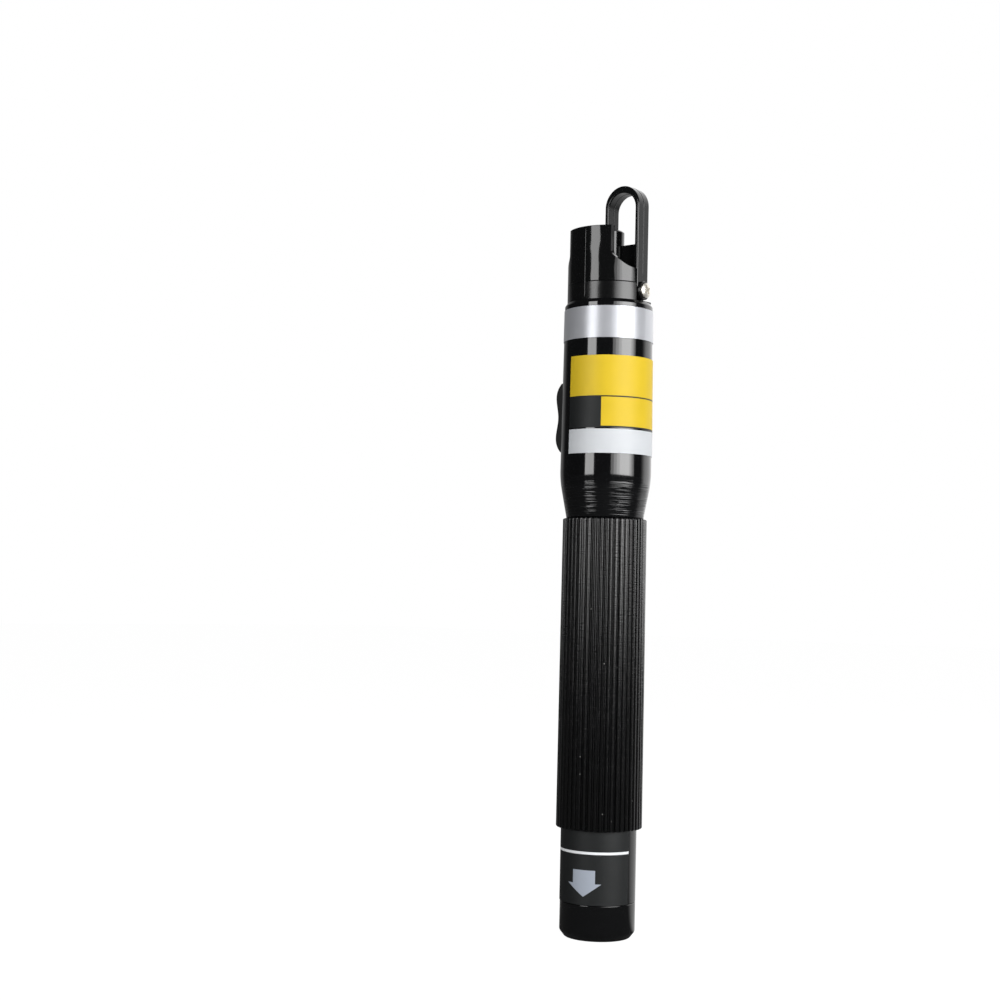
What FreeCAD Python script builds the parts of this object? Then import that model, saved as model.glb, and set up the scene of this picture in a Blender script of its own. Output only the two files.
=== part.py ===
import FreeCAD, Part
import math
import os
from FreeCAD import Vector

# Visual fault locator: a pen-shaped red laser source for fibre connectors, run by two AA cells.
# Z is the pen's axis, zero is the flat end of the tail cap, and the optical port faces +Z.
# X is the axis of the flip cap's pivot screw, and the guard's tongue stands at -Y.
# All sizes are in millimetres.

# Clearances
FIT = 0.05              # radial, between pieces that slide together once
RUN = 0.05              # radial, on the pivot screw and in the tail cap's thread
SLIDE = 0.15            # beside the sliding switch knob and its actuator
FACE = 0.10             # between flat faces that turn past each other
SWING = 0.25            # around the flip cap where it swings

# Cells and battery tube
CELL_RADIUS = 7.25
CELL_BODY = 49.5
NUB_RADIUS = 2.75
NUB_HEIGHT = 1.0
CELL_PLAY = 0.25
TUBE_WALL = 1.3
BORE_RADIUS = CELL_RADIUS + CELL_PLAY
TUBE_RADIUS = BORE_RADIUS + TUBE_WALL

# Tail cap, its seal, contact plate and spring
CAP_HEIGHT = 8.45       # from the flat end to the tube's shoulder
CAP_FLOOR = 1.8
CAP_WALL = 0.6
CAP_CHAMFER_WIDTH = 1.2
CAP_CHAMFER_HEIGHT = 1.5
SEAL_THICKNESS = 0.8
SEAL_WIDTH = 1.5
PLATE_THICKNESS = 0.5
SPRING_LENGTH = 4.6
SPRING_WIRE = 0.35      # wire radius
SPRING_RADIUS = 4.2
SPRING_TURNS = 3

# Grip sleeve
GRIP_BOTTOM = 25.3
GRIP_LENGTH = 72.0
GRIP_FOOT_RADIUS = 10.05
GRIP_TOP_RADIUS = 9.85
GRIP_RIBS = 48
GROOVE_WIDTH = 0.42
GROOVE_DEPTH = 0.45
GRIP_EDGE = 0.4

# Head of the barrel
CONE_STEP = 0.25        # the step that the grip's top edge stops against
CONE_HEIGHT = 11.2
CONE_ROUND = 4.5        # height of the round stretch that ends the cone
HEAD_LOW_RADIUS = 10.73
HEAD_TAPER = 0.33       # by which the head's radius falls towards the port
HEAD_WALL = 2.2
HEAD_CHAMFER = 0.8
COLLAR_STEP = 0.54      # from the head's top radius in to the collar

# Parts stacked in the head, from the cells up
RIVET_HEAD_RADIUS = 3.0
RIVET_HEAD = 1.0
RIVET_RADIUS = 1.2
INSULATOR_THICKNESS = 2.0
BOARD_LENGTH = 22.6
BOARD_MARGIN = 0.74     # from the board's long edges to the head's bore
BOARD_THICKNESS = 1.2
BOARD_OFFSET = 1.5      # from the axis to the board's near face
BLOCK_LENGTH = 11.3
FLANGE_RADIUS = 6.4
FLANGE_LENGTH = 3.2

# Laser diode, lens and ferrule port
DIODE_FLANGE_RADIUS = 2.8
DIODE_FLANGE = 1.2
DIODE_CAN_RADIUS = 1.8
DIODE_CAN = 2.3
DIODE_DEPTH = 1.4       # of the flange in the block's rear pocket
PIN_RADIUS = 0.22
PIN_CIRCLE = 1.0
PIN_LENGTH = 6.0
LENS_RADIUS = 2.5
LENS_THICKNESS = 1.6
LENS_SAG = 0.7
LENS_RING_RADIUS = 3.2
LENS_RING_LENGTH = 3.0
BEAM_RADIUS = 0.9
FERRULE_RADIUS = 1.25
SLEEVE_WALL = 0.35
SLEEVE_LENGTH = 10.4
SLEEVE_SLOT = 0.4
SLEEVE_FLOOR = 1.1      # below the sleeve, to the flange's back face
PORT_RADIUS = 3.0
PORT_LIP = 0.6
PORT_CHAMFER = 0.7

# Slide switch and its knob
SWITCH_BODY = (3.8, 3.8, 11.0)
SWITCH_CENTRE = 10.5    # above the board's lower end
SWITCH_TRAVEL = 4.0
ACTUATOR_WIDTH = 1.8
ACTUATOR_LENGTH = 2.6
KNOB_LENGTH = 16.4
KNOB_WIDTH = 7.0
KNOB_HUMP = 1.9         # above the head's lower radius
KNOB_DISH = 1.3
KNOB_END = 0.5
KNOB_SHARE = 0.17       # place of each hump along the knob
KNOB_ROUND = 0.45

# Pivot collar, guard hood and flip cap
COLLAR_HEIGHT = 4.1
COLLAR_FLOOR = 0.6
GUARD_WALL = 0.96
GUARD_HEIGHT = 13.0
TONGUE_HALF = 5.93
SIDE_HEIGHT = 3.2       # of the guard's sides above the collar
SHOULDER_ROUND = 2.0
BAY_HALF = 4.1          # half width of the gap at the back that the cap swings through
BAY_START = 2.6
PIVOT_HEIGHT = 2.45     # above the barrel's top face
BOSS_LENGTH = 2.7
LINE_BREAK = 0.12       # edge break on both sides of the joint between collar and guard

LEG_INSET = 1.35        # from the collar's surface in to the leg's inner face
LEG_THICKNESS = 1.02
STEM_OUTER = -0.13      # the stem's outer face
STRAP_HALF = 2.2
STRAP_ROUND = 0.35
CROWN = 1.6
LOOP_HEIGHT = 10.0      # above the top of the cap's post
POST_RADIUS = 3.35
POST_LENGTH = 7.85
POST_CHAMFER = 0.35
PAD_GAP = 0.65          # between the port's mouth and the rubber pad
PAD_RADIUS = 2.7
PAD_THICKNESS = 1.0
WEB_THICKNESS = 1.1
WEB_TOP = 3.8           # below the top of the post
WEB_HEIGHT = 7.2
EAR_HEIGHT = 0.62
SCREW_RADIUS = 1.0
SCREW_HEAD_RADIUS = 1.72
SCREW_HEAD = 0.75
RECESS_WIDTH = 0.42
RECESS_DEPTH = 0.45

# Labels
LABEL_THICKNESS = 0.08
LABEL_SEAT = 0.02       # adhesive between a label and the surface under it
LABEL_START = -108.0    # degrees from +X to the left edge of the front labels
LABEL_WIDTH = 39.5      # round the head
BAND_DROP = 1.8         # from the barrel's top face to the silver band
BAND_HEIGHT = 7.4
PANEL_DROP = 13.3
PANEL_HEIGHT = 16.8
STRIP_DROP = 30.4
STRIP_HEIGHT = 5.6
TAIL_LABEL_START = -202.0   # degrees from +X to the tail label's left edge
TAIL_LABEL_WIDTH = 30.7

# Heights that follow from the sizes above
PLATE_BOTTOM = CAP_FLOOR + FACE
SPRING_BOTTOM = PLATE_BOTTOM + PLATE_THICKNESS
REAR_CELL_BOTTOM = SPRING_BOTTOM + SPRING_LENGTH
FRONT_CELL_BOTTOM = REAR_CELL_BOTTOM + CELL_BODY + NUB_HEIGHT
RIVET_BOTTOM = FRONT_CELL_BOTTOM + CELL_BODY + NUB_HEIGHT
BORE_END = RIVET_BOTTOM + RIVET_HEAD
BOARD_BOTTOM = BORE_END + INSULATOR_THICKNESS
BLOCK_BOTTOM = BOARD_BOTTOM + BOARD_LENGTH
FLANGE_BOTTOM = BLOCK_BOTTOM + BLOCK_LENGTH
HEAD_TOP = FLANGE_BOTTOM + FLANGE_LENGTH
TUBE_END = CAP_FLOOR + SEAL_THICKNESS + FACE
THREAD_RADIUS = TUBE_RADIUS - CAP_WALL - RUN
GRIP_TOP = GRIP_BOTTOM + GRIP_LENGTH
HEAD_LOW = GRIP_TOP + CONE_HEIGHT
HEAD_TOP_RADIUS = HEAD_LOW_RADIUS - HEAD_TAPER
HEAD_BORE = HEAD_TOP_RADIUS - HEAD_WALL
COLLAR_RADIUS = HEAD_TOP_RADIUS - COLLAR_STEP
COLLAR_TOP = HEAD_TOP + COLLAR_HEIGHT
GUARD_TOP = COLLAR_TOP + GUARD_HEIGHT
SLEEVE_BOTTOM = FLANGE_BOTTOM + SLEEVE_FLOOR
PORT_TOP = SLEEVE_BOTTOM + SLEEVE_LENGTH + PORT_LIP
PIVOT_Z = HEAD_TOP + PIVOT_HEIGHT
POST_BOTTOM = PORT_TOP + PAD_GAP
POST_TOP = POST_BOTTOM + POST_LENGTH
LOOP_TOP = POST_TOP + LOOP_HEIGHT
LEG_INNER = COLLAR_RADIUS - LEG_INSET
LEG_OUTER = LEG_INNER + LEG_THICKNESS
STEM_INNER = STEM_OUTER + LEG_THICKNESS
EAR_OUTER = LEG_OUTER + EAR_HEIGHT
SEAT_X = LEG_INNER - SWING
SWITCH_Z = BOARD_BOTTOM + SWITCH_CENTRE
ACTUATOR_Z = SWITCH_Z - SWITCH_TRAVEL / 2
BOARD_FACE = -BOARD_OFFSET - BOARD_THICKNESS

ORIGIN = Vector(0, 0, 0)
X_AXIS = Vector(1, 0, 0)
Y_AXIS = Vector(0, 1, 0)
Z_AXIS = Vector(0, 0, 1)


def wire_through(place, start, steps):
    """A closed wire: each step is a point for a straight edge, or two points for an arc."""
    edges = []
    here = place(*start)
    for step in steps:
        if isinstance(step[0], tuple):
            middle, end = place(*step[0]), place(*step[1])
            edges.append(Part.Arc(here, middle, end).toShape())
        else:
            end = place(*step)
            edges.append(Part.LineSegment(here, end).toShape())
        here = end
    first = place(*start)
    if here.distanceToPoint(first) > 1e-7:
        edges.append(Part.LineSegment(here, first).toShape())
    return Part.Wire(edges)


def turned(start, *steps):
    """A solid of revolution about Z from an outline of (radius, height) points."""
    wire = wire_through(lambda r, z: Vector(r, 0, z), start, steps)
    return Part.Face(wire).revolve(ORIGIN, Z_AXIS, 360)


def turned_on_pivot(start, *steps):
    """A solid of revolution about the pivot's axis from an outline of (distance, radius) points."""
    wire = wire_through(lambda x, r: Vector(x, 0, PIVOT_Z + r), start, steps)
    return Part.Face(wire).revolve(Vector(0, 0, PIVOT_Z), X_AXIS, 360)


def side_profile(half_depth, start, *steps):
    """An outline of (x, z) points carried along Y, the same distance to both sides."""
    wire = wire_through(lambda x, z: Vector(x, -half_depth, z), start, steps)
    return Part.Face(wire).extrude(Vector(0, 2 * half_depth, 0))


def disc(radius, bottom, height, hole=0.0):
    """A round disc or ring about the pen's axis."""
    body = Part.makeCylinder(radius, height, Vector(0, 0, bottom))
    if hole:
        body = body.cut(Part.makeCylinder(hole, height, Vector(0, 0, bottom)))
    return body


def block(x0, x1, y0, y1, z0, z1):
    """A box between two corners."""
    return Part.makeBox(x1 - x0, y1 - y0, z1 - z0, Vector(x0, y0, z0))


def pivot_cylinder(radius, x0, x1):
    """A cylinder about the pivot screw's axis."""
    return Part.makeCylinder(radius, x1 - x0, Vector(x0, 0, PIVOT_Z), X_AXIS)


def head_radius(z):
    """The head's outer radius, which tapers gently towards the port."""
    share = (z - HEAD_LOW) / (HEAD_TOP - HEAD_CHAMFER - HEAD_LOW)
    return HEAD_LOW_RADIUS + (HEAD_TOP_RADIUS - HEAD_LOW_RADIUS) * share


def on_circle(centre, radius, angle):
    """The point at an angle, in radians, on a circle."""
    return (centre[0] + radius * math.cos(angle), centre[1] + radius * math.sin(angle))


def barrel():
    """The turned aluminium body: threaded tail, battery tube, cone and head in one piece."""
    cone_foot = TUBE_RADIUS + CONE_STEP
    lean = math.atan((HEAD_LOW_RADIUS - cone_foot) / (CONE_HEIGHT - CONE_ROUND / 2))
    curve = CONE_ROUND / math.sin(lean)
    centre = (HEAD_LOW_RADIUS - curve, HEAD_LOW)
    body = turned(
        (BORE_RADIUS, TUBE_END),
        (THREAD_RADIUS, TUBE_END),
        (THREAD_RADIUS, CAP_HEIGHT),
        (TUBE_RADIUS, CAP_HEIGHT),
        (TUBE_RADIUS, GRIP_TOP),
        (cone_foot, GRIP_TOP),
        on_circle(centre, curve, -lean),
        (on_circle(centre, curve, -lean / 2), (HEAD_LOW_RADIUS, HEAD_LOW)),
        (HEAD_TOP_RADIUS, HEAD_TOP - HEAD_CHAMFER),
        (COLLAR_RADIUS, HEAD_TOP),
        (HEAD_BORE, HEAD_TOP),
        (HEAD_BORE, BORE_END),
        (BORE_RADIUS, BORE_END),
    )
    half = ACTUATOR_WIDTH / 2 + SLIDE
    low = ACTUATOR_Z - ACTUATOR_LENGTH / 2 - SLIDE
    high = ACTUATOR_Z + ACTUATOR_LENGTH / 2 + SWITCH_TRAVEL + SLIDE
    slot = block(-HEAD_LOW_RADIUS - 1, -HEAD_BORE + 1, -half, half, low, high)
    return body.cut(slot)


def grip_sleeve():
    """The rubber sleeve on the battery tube, with a narrow groove between each pair of ribs."""
    sleeve = turned(
        (TUBE_RADIUS, GRIP_BOTTOM),
        (GRIP_FOOT_RADIUS - GRIP_EDGE, GRIP_BOTTOM),
        (GRIP_FOOT_RADIUS, GRIP_BOTTOM + GRIP_EDGE),
        (GRIP_TOP_RADIUS, GRIP_TOP - GRIP_EDGE),
        (GRIP_TOP_RADIUS - GRIP_EDGE, GRIP_TOP),
        (TUBE_RADIUS, GRIP_TOP),
    )
    floor_radius = GRIP_TOP_RADIUS - GROOVE_DEPTH
    outside = GRIP_FOOT_RADIUS + 1
    half = GROOVE_WIDTH / 2
    outline = Part.makePolygon([
        Vector(floor_radius, -half / 2, GRIP_BOTTOM - 1),
        Vector(outside, -2 * half, GRIP_BOTTOM - 1),
        Vector(outside, 2 * half, GRIP_BOTTOM - 1),
        Vector(floor_radius, half / 2, GRIP_BOTTOM - 1),
        Vector(floor_radius, -half / 2, GRIP_BOTTOM - 1),
    ])
    groove = Part.Face(outline).extrude(Vector(0, 0, GRIP_LENGTH + 2))
    grooves = []
    for number in range(GRIP_RIBS):
        copy = groove.copy()
        copy.rotate(ORIGIN, Z_AXIS, number * 360 / GRIP_RIBS)
        grooves.append(copy)
    return sleeve.cut(Part.makeCompound(grooves))


def tail_cap():
    """The turned cap that screws over the tube's end; the pen stands on its flat face."""
    rim = CAP_HEIGHT - FACE
    inner = THREAD_RADIUS + RUN
    return turned(
        (0, 0),
        (TUBE_RADIUS - CAP_CHAMFER_WIDTH, 0),
        (TUBE_RADIUS, CAP_CHAMFER_HEIGHT),
        (TUBE_RADIUS, rim),
        (inner, rim),
        (inner, CAP_FLOOR),
        (0, CAP_FLOOR),
    )


def tail_seal():
    """The flat rubber ring that the tube's end presses on."""
    return disc(THREAD_RADIUS, CAP_FLOOR, SEAL_THICKNESS, THREAD_RADIUS - SEAL_WIDTH)


def tail_contact():
    """The brass plate that the spring stands on, with a raised hub that centres it."""
    plate_radius = THREAD_RADIUS - SEAL_WIDTH - SLIDE
    plate = disc(plate_radius, PLATE_BOTTOM, PLATE_THICKNESS)
    hub = disc(SPRING_RADIUS - SPRING_WIRE - FIT, SPRING_BOTTOM, 2 * SPRING_WIRE)
    return plate.fuse(hub).removeSplitter()


def tail_spring():
    """The coil spring that presses on the rear cell: half turns that lean alternately and run on smoothly."""
    rise = (SPRING_LENGTH - 2 * SPRING_WIRE) / (2 * SPRING_TURNS)
    halves = []
    for number in range(2 * SPRING_TURNS):
        side = -1 if number % 2 else 1
        low = SPRING_BOTTOM + SPRING_WIRE + number * rise
        start = Vector(side * SPRING_RADIUS, 0, low)
        centre = Vector(0, 0, low + rise / 2)
        axis = (start - centre).cross(Y_AXIS * side)
        section = Part.Face(Part.Wire(Part.makeCircle(SPRING_WIRE, start, Y_AXIS)))
        halves.append(section.revolve(centre, axis, 180))
    return halves[0].fuse(halves[1:])


def cell(bottom):
    """An AA cell standing on its flat end, with its contact nub on top."""
    top = bottom + CELL_BODY
    edge = 0.4
    return turned(
        (0, bottom),
        (CELL_RADIUS - edge, bottom),
        (CELL_RADIUS, bottom + edge),
        (CELL_RADIUS, top - edge),
        (CELL_RADIUS - edge, top),
        (NUB_RADIUS, top),
        (NUB_RADIUS, top + NUB_HEIGHT),
        (0, top + NUB_HEIGHT),
    )


def contact_insulator():
    """The plastic disc between the cells and the electronics."""
    return disc(HEAD_BORE, BORE_END, INSULATOR_THICKNESS, RIVET_RADIUS)


def positive_contact():
    """The brass rivet that meets the front cell's nub."""
    head = disc(RIVET_HEAD_RADIUS, RIVET_BOTTOM, RIVET_HEAD)
    shank = disc(RIVET_RADIUS, BORE_END, INSULATOR_THICKNESS)
    return head.fuse(shank).removeSplitter()


def driver_board():
    """The circuit board that stands between the insulator and the laser block."""
    half = math.sqrt(HEAD_BORE ** 2 - BOARD_FACE ** 2) - BOARD_MARGIN
    return block(BOARD_FACE, -BOARD_OFFSET, -half, half, BOARD_BOTTOM, BLOCK_BOTTOM)


def slide_switch():
    """The slide switch's metal can on the board, with a slot for its actuator."""
    depth, width, length = SWITCH_BODY
    outer = BOARD_FACE - depth
    can = block(outer, BOARD_FACE, -width / 2, width / 2, SWITCH_Z - length / 2, SWITCH_Z + length / 2)
    half = ACTUATOR_WIDTH / 2 + FIT
    reach = (ACTUATOR_LENGTH + SWITCH_TRAVEL) / 2 + FIT
    slot = block(outer - 1, BOARD_FACE - depth / 2, -half, half, SWITCH_Z - reach, SWITCH_Z + reach)
    return can.cut(slot)


def switch_actuator():
    """The slider that reaches from the switch through the barrel's slot into the knob."""
    inner = BOARD_FACE - SWITCH_BODY[0] / 2 - FIT
    outer = -HEAD_LOW_RADIUS - KNOB_DISH / 2
    half = ACTUATOR_WIDTH / 2
    low = ACTUATOR_Z - ACTUATOR_LENGTH / 2
    return block(outer, inner, -half, half, low, low + ACTUATOR_LENGTH)


def switch_knob():
    """The thumb slider: two humps with a dish between them, hollowed to ride on the head."""
    low = SWITCH_Z - KNOB_LENGTH / 2
    high = SWITCH_Z + KNOB_LENGTH / 2
    inside = -HEAD_LOW_RADIUS + 2
    half = KNOB_WIDTH / 2
    heights = [KNOB_END, KNOB_HUMP, KNOB_DISH, KNOB_HUMP, KNOB_END]
    shares = [0, KNOB_SHARE, 0.5, 1 - KNOB_SHARE, 1]
    crest = Part.BSplineCurve()
    crest.interpolate([Vector(-HEAD_LOW_RADIUS - height, -half, low + share * KNOB_LENGTH)
                       for height, share in zip(heights, shares)])
    corners = [crest.EndPoint, Vector(inside, -half, high), Vector(inside, -half, low), crest.StartPoint]
    back = Part.makePolygon(corners)
    body = Part.Face(Part.Wire([crest.toShape()] + back.Edges)).extrude(Vector(0, KNOB_WIDTH, 0))
    long_edges = [edge for edge in body.Edges if edge.Curve.TypeId == "Part::GeomBSplineCurve"]
    body = body.makeFillet(KNOB_ROUND, long_edges)
    seat = turned(
        (0, low - 1),
        (head_radius(low - 1) + SLIDE, low - 1),
        (head_radius(high + 1) + SLIDE, high + 1),
        (0, high + 1),
    )
    return body.cut(seat).cut(switch_actuator())


def laser_block():
    """The brass block that holds the diode behind the lens, pressed into the head."""
    lens_seat = FLANGE_BOTTOM - LENS_RING_LENGTH
    pocket = BLOCK_BOTTOM + DIODE_DEPTH + DIODE_FLANGE
    return turned(
        (DIODE_FLANGE_RADIUS + FIT, BLOCK_BOTTOM),
        (HEAD_BORE, BLOCK_BOTTOM),
        (HEAD_BORE, FLANGE_BOTTOM),
        (LENS_RING_RADIUS, FLANGE_BOTTOM),
        (LENS_RING_RADIUS, lens_seat),
        (DIODE_CAN_RADIUS + FIT, lens_seat),
        (DIODE_CAN_RADIUS + FIT, pocket),
        (DIODE_FLANGE_RADIUS + FIT, pocket),
    )


def laser_diode():
    """The diode: a flanged can with three pins that reach down beside the board."""
    flange_bottom = BLOCK_BOTTOM + DIODE_DEPTH
    body = disc(DIODE_FLANGE_RADIUS, flange_bottom, DIODE_FLANGE)
    body = body.fuse(disc(DIODE_CAN_RADIUS, flange_bottom + DIODE_FLANGE, DIODE_CAN))
    for number in range(3):
        angle = math.radians(90 * number - 90)
        foot = Vector(PIN_CIRCLE * math.cos(angle), PIN_CIRCLE * math.sin(angle), flange_bottom - PIN_LENGTH)
        body = body.fuse(Part.makeCylinder(PIN_RADIUS, PIN_LENGTH, foot))
    return body.removeSplitter()


def lens_ring():
    """The threaded ring that carries the lens."""
    bottom = FLANGE_BOTTOM - LENS_RING_LENGTH
    ledge = bottom + LENS_RING_LENGTH - LENS_THICKNESS
    return turned(
        (DIODE_CAN_RADIUS, bottom),
        (LENS_RING_RADIUS, bottom),
        (LENS_RING_RADIUS, FLANGE_BOTTOM),
        (LENS_RADIUS, FLANGE_BOTTOM),
        (LENS_RADIUS, ledge),
        (DIODE_CAN_RADIUS, ledge),
    )


def focus_lens():
    """The flat-backed lens that focuses the beam on the fibre."""
    bottom = FLANGE_BOTTOM - LENS_THICKNESS
    rim = FLANGE_BOTTOM - LENS_SAG
    curve = (LENS_RADIUS ** 2 + LENS_SAG ** 2) / (2 * LENS_SAG)
    half_turn = math.asin(LENS_RADIUS / curve) / 2
    middle = on_circle((0, FLANGE_BOTTOM - curve), curve, math.pi / 2 - half_turn)
    return turned((0, bottom), (LENS_RADIUS, bottom), (LENS_RADIUS, rim), (middle, (0, FLANGE_BOTTOM)))


def port_tube():
    """The steel ferrule port, clamped by its flange under the collar's floor."""
    sleeve_outer = FERRULE_RADIUS + SLEEVE_WALL
    sleeve_top = SLEEVE_BOTTOM + SLEEVE_LENGTH
    mouth = FERRULE_RADIUS + 2 * FIT
    return turned(
        (BEAM_RADIUS, FLANGE_BOTTOM),
        (FLANGE_RADIUS, FLANGE_BOTTOM),
        (FLANGE_RADIUS, HEAD_TOP),
        (PORT_RADIUS, HEAD_TOP),
        (PORT_RADIUS, PORT_TOP - PORT_CHAMFER),
        (PORT_RADIUS - PORT_CHAMFER, PORT_TOP),
        (mouth + PORT_LIP / 2, PORT_TOP),
        (mouth, PORT_TOP - PORT_LIP / 2),
        (mouth, sleeve_top),
        (sleeve_outer, sleeve_top),
        (sleeve_outer, SLEEVE_BOTTOM),
        (BEAM_RADIUS, SLEEVE_BOTTOM),
    )


def ceramic_sleeve():
    """The split zirconia sleeve that centres a 2.5 mm ferrule."""
    outer = FERRULE_RADIUS + SLEEVE_WALL
    ring = disc(outer, SLEEVE_BOTTOM, SLEEVE_LENGTH, FERRULE_RADIUS)
    half = SLEEVE_SLOT / 2
    slot = block(-half, half, 0, outer + 1, SLEEVE_BOTTOM - 1, SLEEVE_BOTTOM + SLEEVE_LENGTH + 1)
    return ring.cut(slot)


def open_swing_bay(shape, bottom):
    """Cut away the space at the back and beside the leg that the flip cap swings through."""
    reach = COLLAR_RADIUS + 1
    back = block(-BAY_HALF, reach, BAY_START, reach, bottom, GUARD_TOP + 1)
    beside_leg = block(SEAT_X, reach, -STRAP_HALF - SWING, reach, HEAD_TOP, GUARD_TOP + 2)
    return shape.cut(back).cut(beside_leg)


def pivot_collar():
    """The moulded collar that closes the head and carries the flip cap's pivot."""
    inner = COLLAR_RADIUS - GUARD_WALL
    spigot_bottom = FLANGE_BOTTOM
    floor_top = HEAD_TOP + COLLAR_FLOOR
    ring = turned(
        (FLANGE_RADIUS + FIT, spigot_bottom),
        (HEAD_BORE, spigot_bottom),
        (HEAD_BORE, HEAD_TOP),
        (COLLAR_RADIUS, HEAD_TOP),
        (COLLAR_RADIUS, COLLAR_TOP - LINE_BREAK),
        (COLLAR_RADIUS - LINE_BREAK, COLLAR_TOP),
        (inner, COLLAR_TOP),
        (inner, floor_top),
        (PORT_RADIUS + FIT, floor_top),
        (PORT_RADIUS + FIT, HEAD_TOP),
        (FLANGE_RADIUS + FIT, HEAD_TOP),
    )
    boss = pivot_cylinder(STRAP_HALF, SEAT_X - BOSS_LENGTH, SEAT_X)
    foot = block(SEAT_X - BOSS_LENGTH, SEAT_X, -STRAP_HALF, STRAP_HALF, HEAD_TOP, PIVOT_Z)
    collar = open_swing_bay(ring, floor_top).fuse([boss, foot]).removeSplitter()
    return collar.cut(pivot_cylinder(SCREW_RADIUS, SEAT_X - BOSS_LENGTH, SEAT_X))


def guard_hood():
    """The thin hood round the port: a tall tongue in front and low sides, open at the back."""
    inner = COLLAR_RADIUS - GUARD_WALL
    wall = turned(
        (inner, COLLAR_TOP),
        (COLLAR_RADIUS - LINE_BREAK, COLLAR_TOP),
        (COLLAR_RADIUS, COLLAR_TOP + LINE_BREAK),
        (COLLAR_RADIUS, GUARD_TOP - LINE_BREAK),
        (COLLAR_RADIUS - LINE_BREAK, GUARD_TOP),
        (inner, GUARD_TOP),
    )
    front = wall.common(guard_outline(-COLLAR_RADIUS - 1, 0))
    reach = COLLAR_RADIUS + 1
    sides = wall.common(block(-reach, reach, 0, reach, COLLAR_TOP, COLLAR_TOP + SIDE_HEIGHT))
    return open_swing_bay(front.fuse(sides).removeSplitter(), COLLAR_TOP - 1)


def guard_outline(y0, y1):
    """The hood's front view: an upright tongue that runs down 45 degree shoulders to the sides."""
    low = COLLAR_TOP + SIDE_HEIGHT
    reach = COLLAR_RADIUS + 1
    run = COLLAR_RADIUS - 0.7 - TONGUE_HALF
    points = [
        (-reach, COLLAR_TOP - 1), (reach, COLLAR_TOP - 1), (reach, low),
        (TONGUE_HALF + run, low), (TONGUE_HALF, low + run), (TONGUE_HALF, GUARD_TOP + 1),
        (-TONGUE_HALF, GUARD_TOP + 1), (-TONGUE_HALF, low + run), (-TONGUE_HALF - run, low), (-reach, low),
    ]
    wire = Part.makePolygon([Vector(x, y0, z) for x, z in points + points[:1]])
    body = Part.Face(wire).extrude(Vector(0, y1 - y0, 0))
    corners = [edge for edge in body.Edges if is_shoulder_corner(edge, low, run)]
    return body.makeFillet(SHOULDER_ROUND, corners)


def is_shoulder_corner(edge, low, run):
    """True for the edges along Y where the shoulders meet the tongue and the sides."""
    box = edge.BoundBox
    if box.XLength > 1e-6 or box.ZLength > 1e-6:
        return False
    return abs(box.ZMin - low) < 1e-6 and abs(abs(box.XMin) - TONGUE_HALF - run) < 1e-6 \
        or abs(box.ZMin - low - run) < 1e-6


def strap_loop():
    """The bail: a strap from the pivot up over an arch and down to the post, edges rounded."""
    outer_radius = (LEG_OUTER - STEM_OUTER) / 2
    inner_radius = (LEG_INNER - STEM_INNER) / 2
    outer_z = LOOP_TOP - outer_radius
    inner_z = LOOP_TOP - CROWN - inner_radius
    middle = (LEG_OUTER + STEM_OUTER) / 2
    post_z = POST_TOP - POST_CHAMFER
    loop = side_profile(
        STRAP_HALF,
        (LEG_INNER, PIVOT_Z),
        (LEG_OUTER, PIVOT_Z),
        (LEG_OUTER, outer_z),
        ((middle, LOOP_TOP), (STEM_OUTER, outer_z)),
        (STEM_OUTER, post_z),
        (STEM_INNER, post_z),
        (STEM_INNER, inner_z),
        ((middle, LOOP_TOP - CROWN), (LEG_INNER, inner_z)),
    )
    long_edges = [edge for edge in loop.Edges if follows_strap(edge, post_z)]
    return loop.makeFillet(STRAP_ROUND, long_edges)


def follows_strap(edge, post_z):
    """True for the strap's long edges, on its front and back faces."""
    box = edge.BoundBox
    at_end = box.ZLength < 1e-6 and (abs(box.ZMin - PIVOT_Z) < 1e-6 or abs(box.ZMin - post_z) < 1e-6)
    return box.YLength < 1e-6 and not at_end


def flip_cap():
    """The moulded flip cap: post over the port, web, bail and pivot ear in one piece."""
    post = turned(
        (0, POST_BOTTOM),
        (POST_RADIUS, POST_BOTTOM),
        (POST_RADIUS, POST_TOP - POST_CHAMFER),
        (POST_RADIUS - POST_CHAMFER, POST_TOP),
        (0, POST_TOP),
    )
    web_top = POST_TOP - WEB_TOP
    web_foot = web_top - WEB_HEIGHT
    half = WEB_THICKNESS / 2
    web = block(POST_RADIUS / 2, LEG_INNER + LEG_THICKNESS / 2, -half, half, web_foot, web_top)
    web = web.cut(disc(PORT_RADIUS + SWING, web_foot, POST_BOTTOM - web_foot))
    end = turned_on_pivot((LEG_INNER, 0), (LEG_INNER, STRAP_HALF), (LEG_OUTER - STRAP_ROUND, STRAP_HALF),
                          (LEG_OUTER, STRAP_HALF - STRAP_ROUND), (LEG_OUTER, 0))
    bevel = STRAP_ROUND / 2
    ear = turned_on_pivot((LEG_OUTER - STRAP_ROUND, 0), (LEG_OUTER - STRAP_ROUND, STRAP_HALF),
                          (EAR_OUTER - bevel, STRAP_HALF), (EAR_OUTER, STRAP_HALF - bevel), (EAR_OUTER, 0))
    cap = strap_loop().fuse([post, web, end, ear]).removeSplitter()
    bore = pivot_cylinder(SCREW_RADIUS + RUN, LEG_INNER - 1, EAR_OUTER + 1)
    return cap.cut(bore).cut(cap_pad())


def cap_pad():
    """The rubber pad under the post that covers the port's mouth."""
    return disc(PAD_RADIUS, POST_BOTTOM, PAD_THICKNESS)


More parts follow.
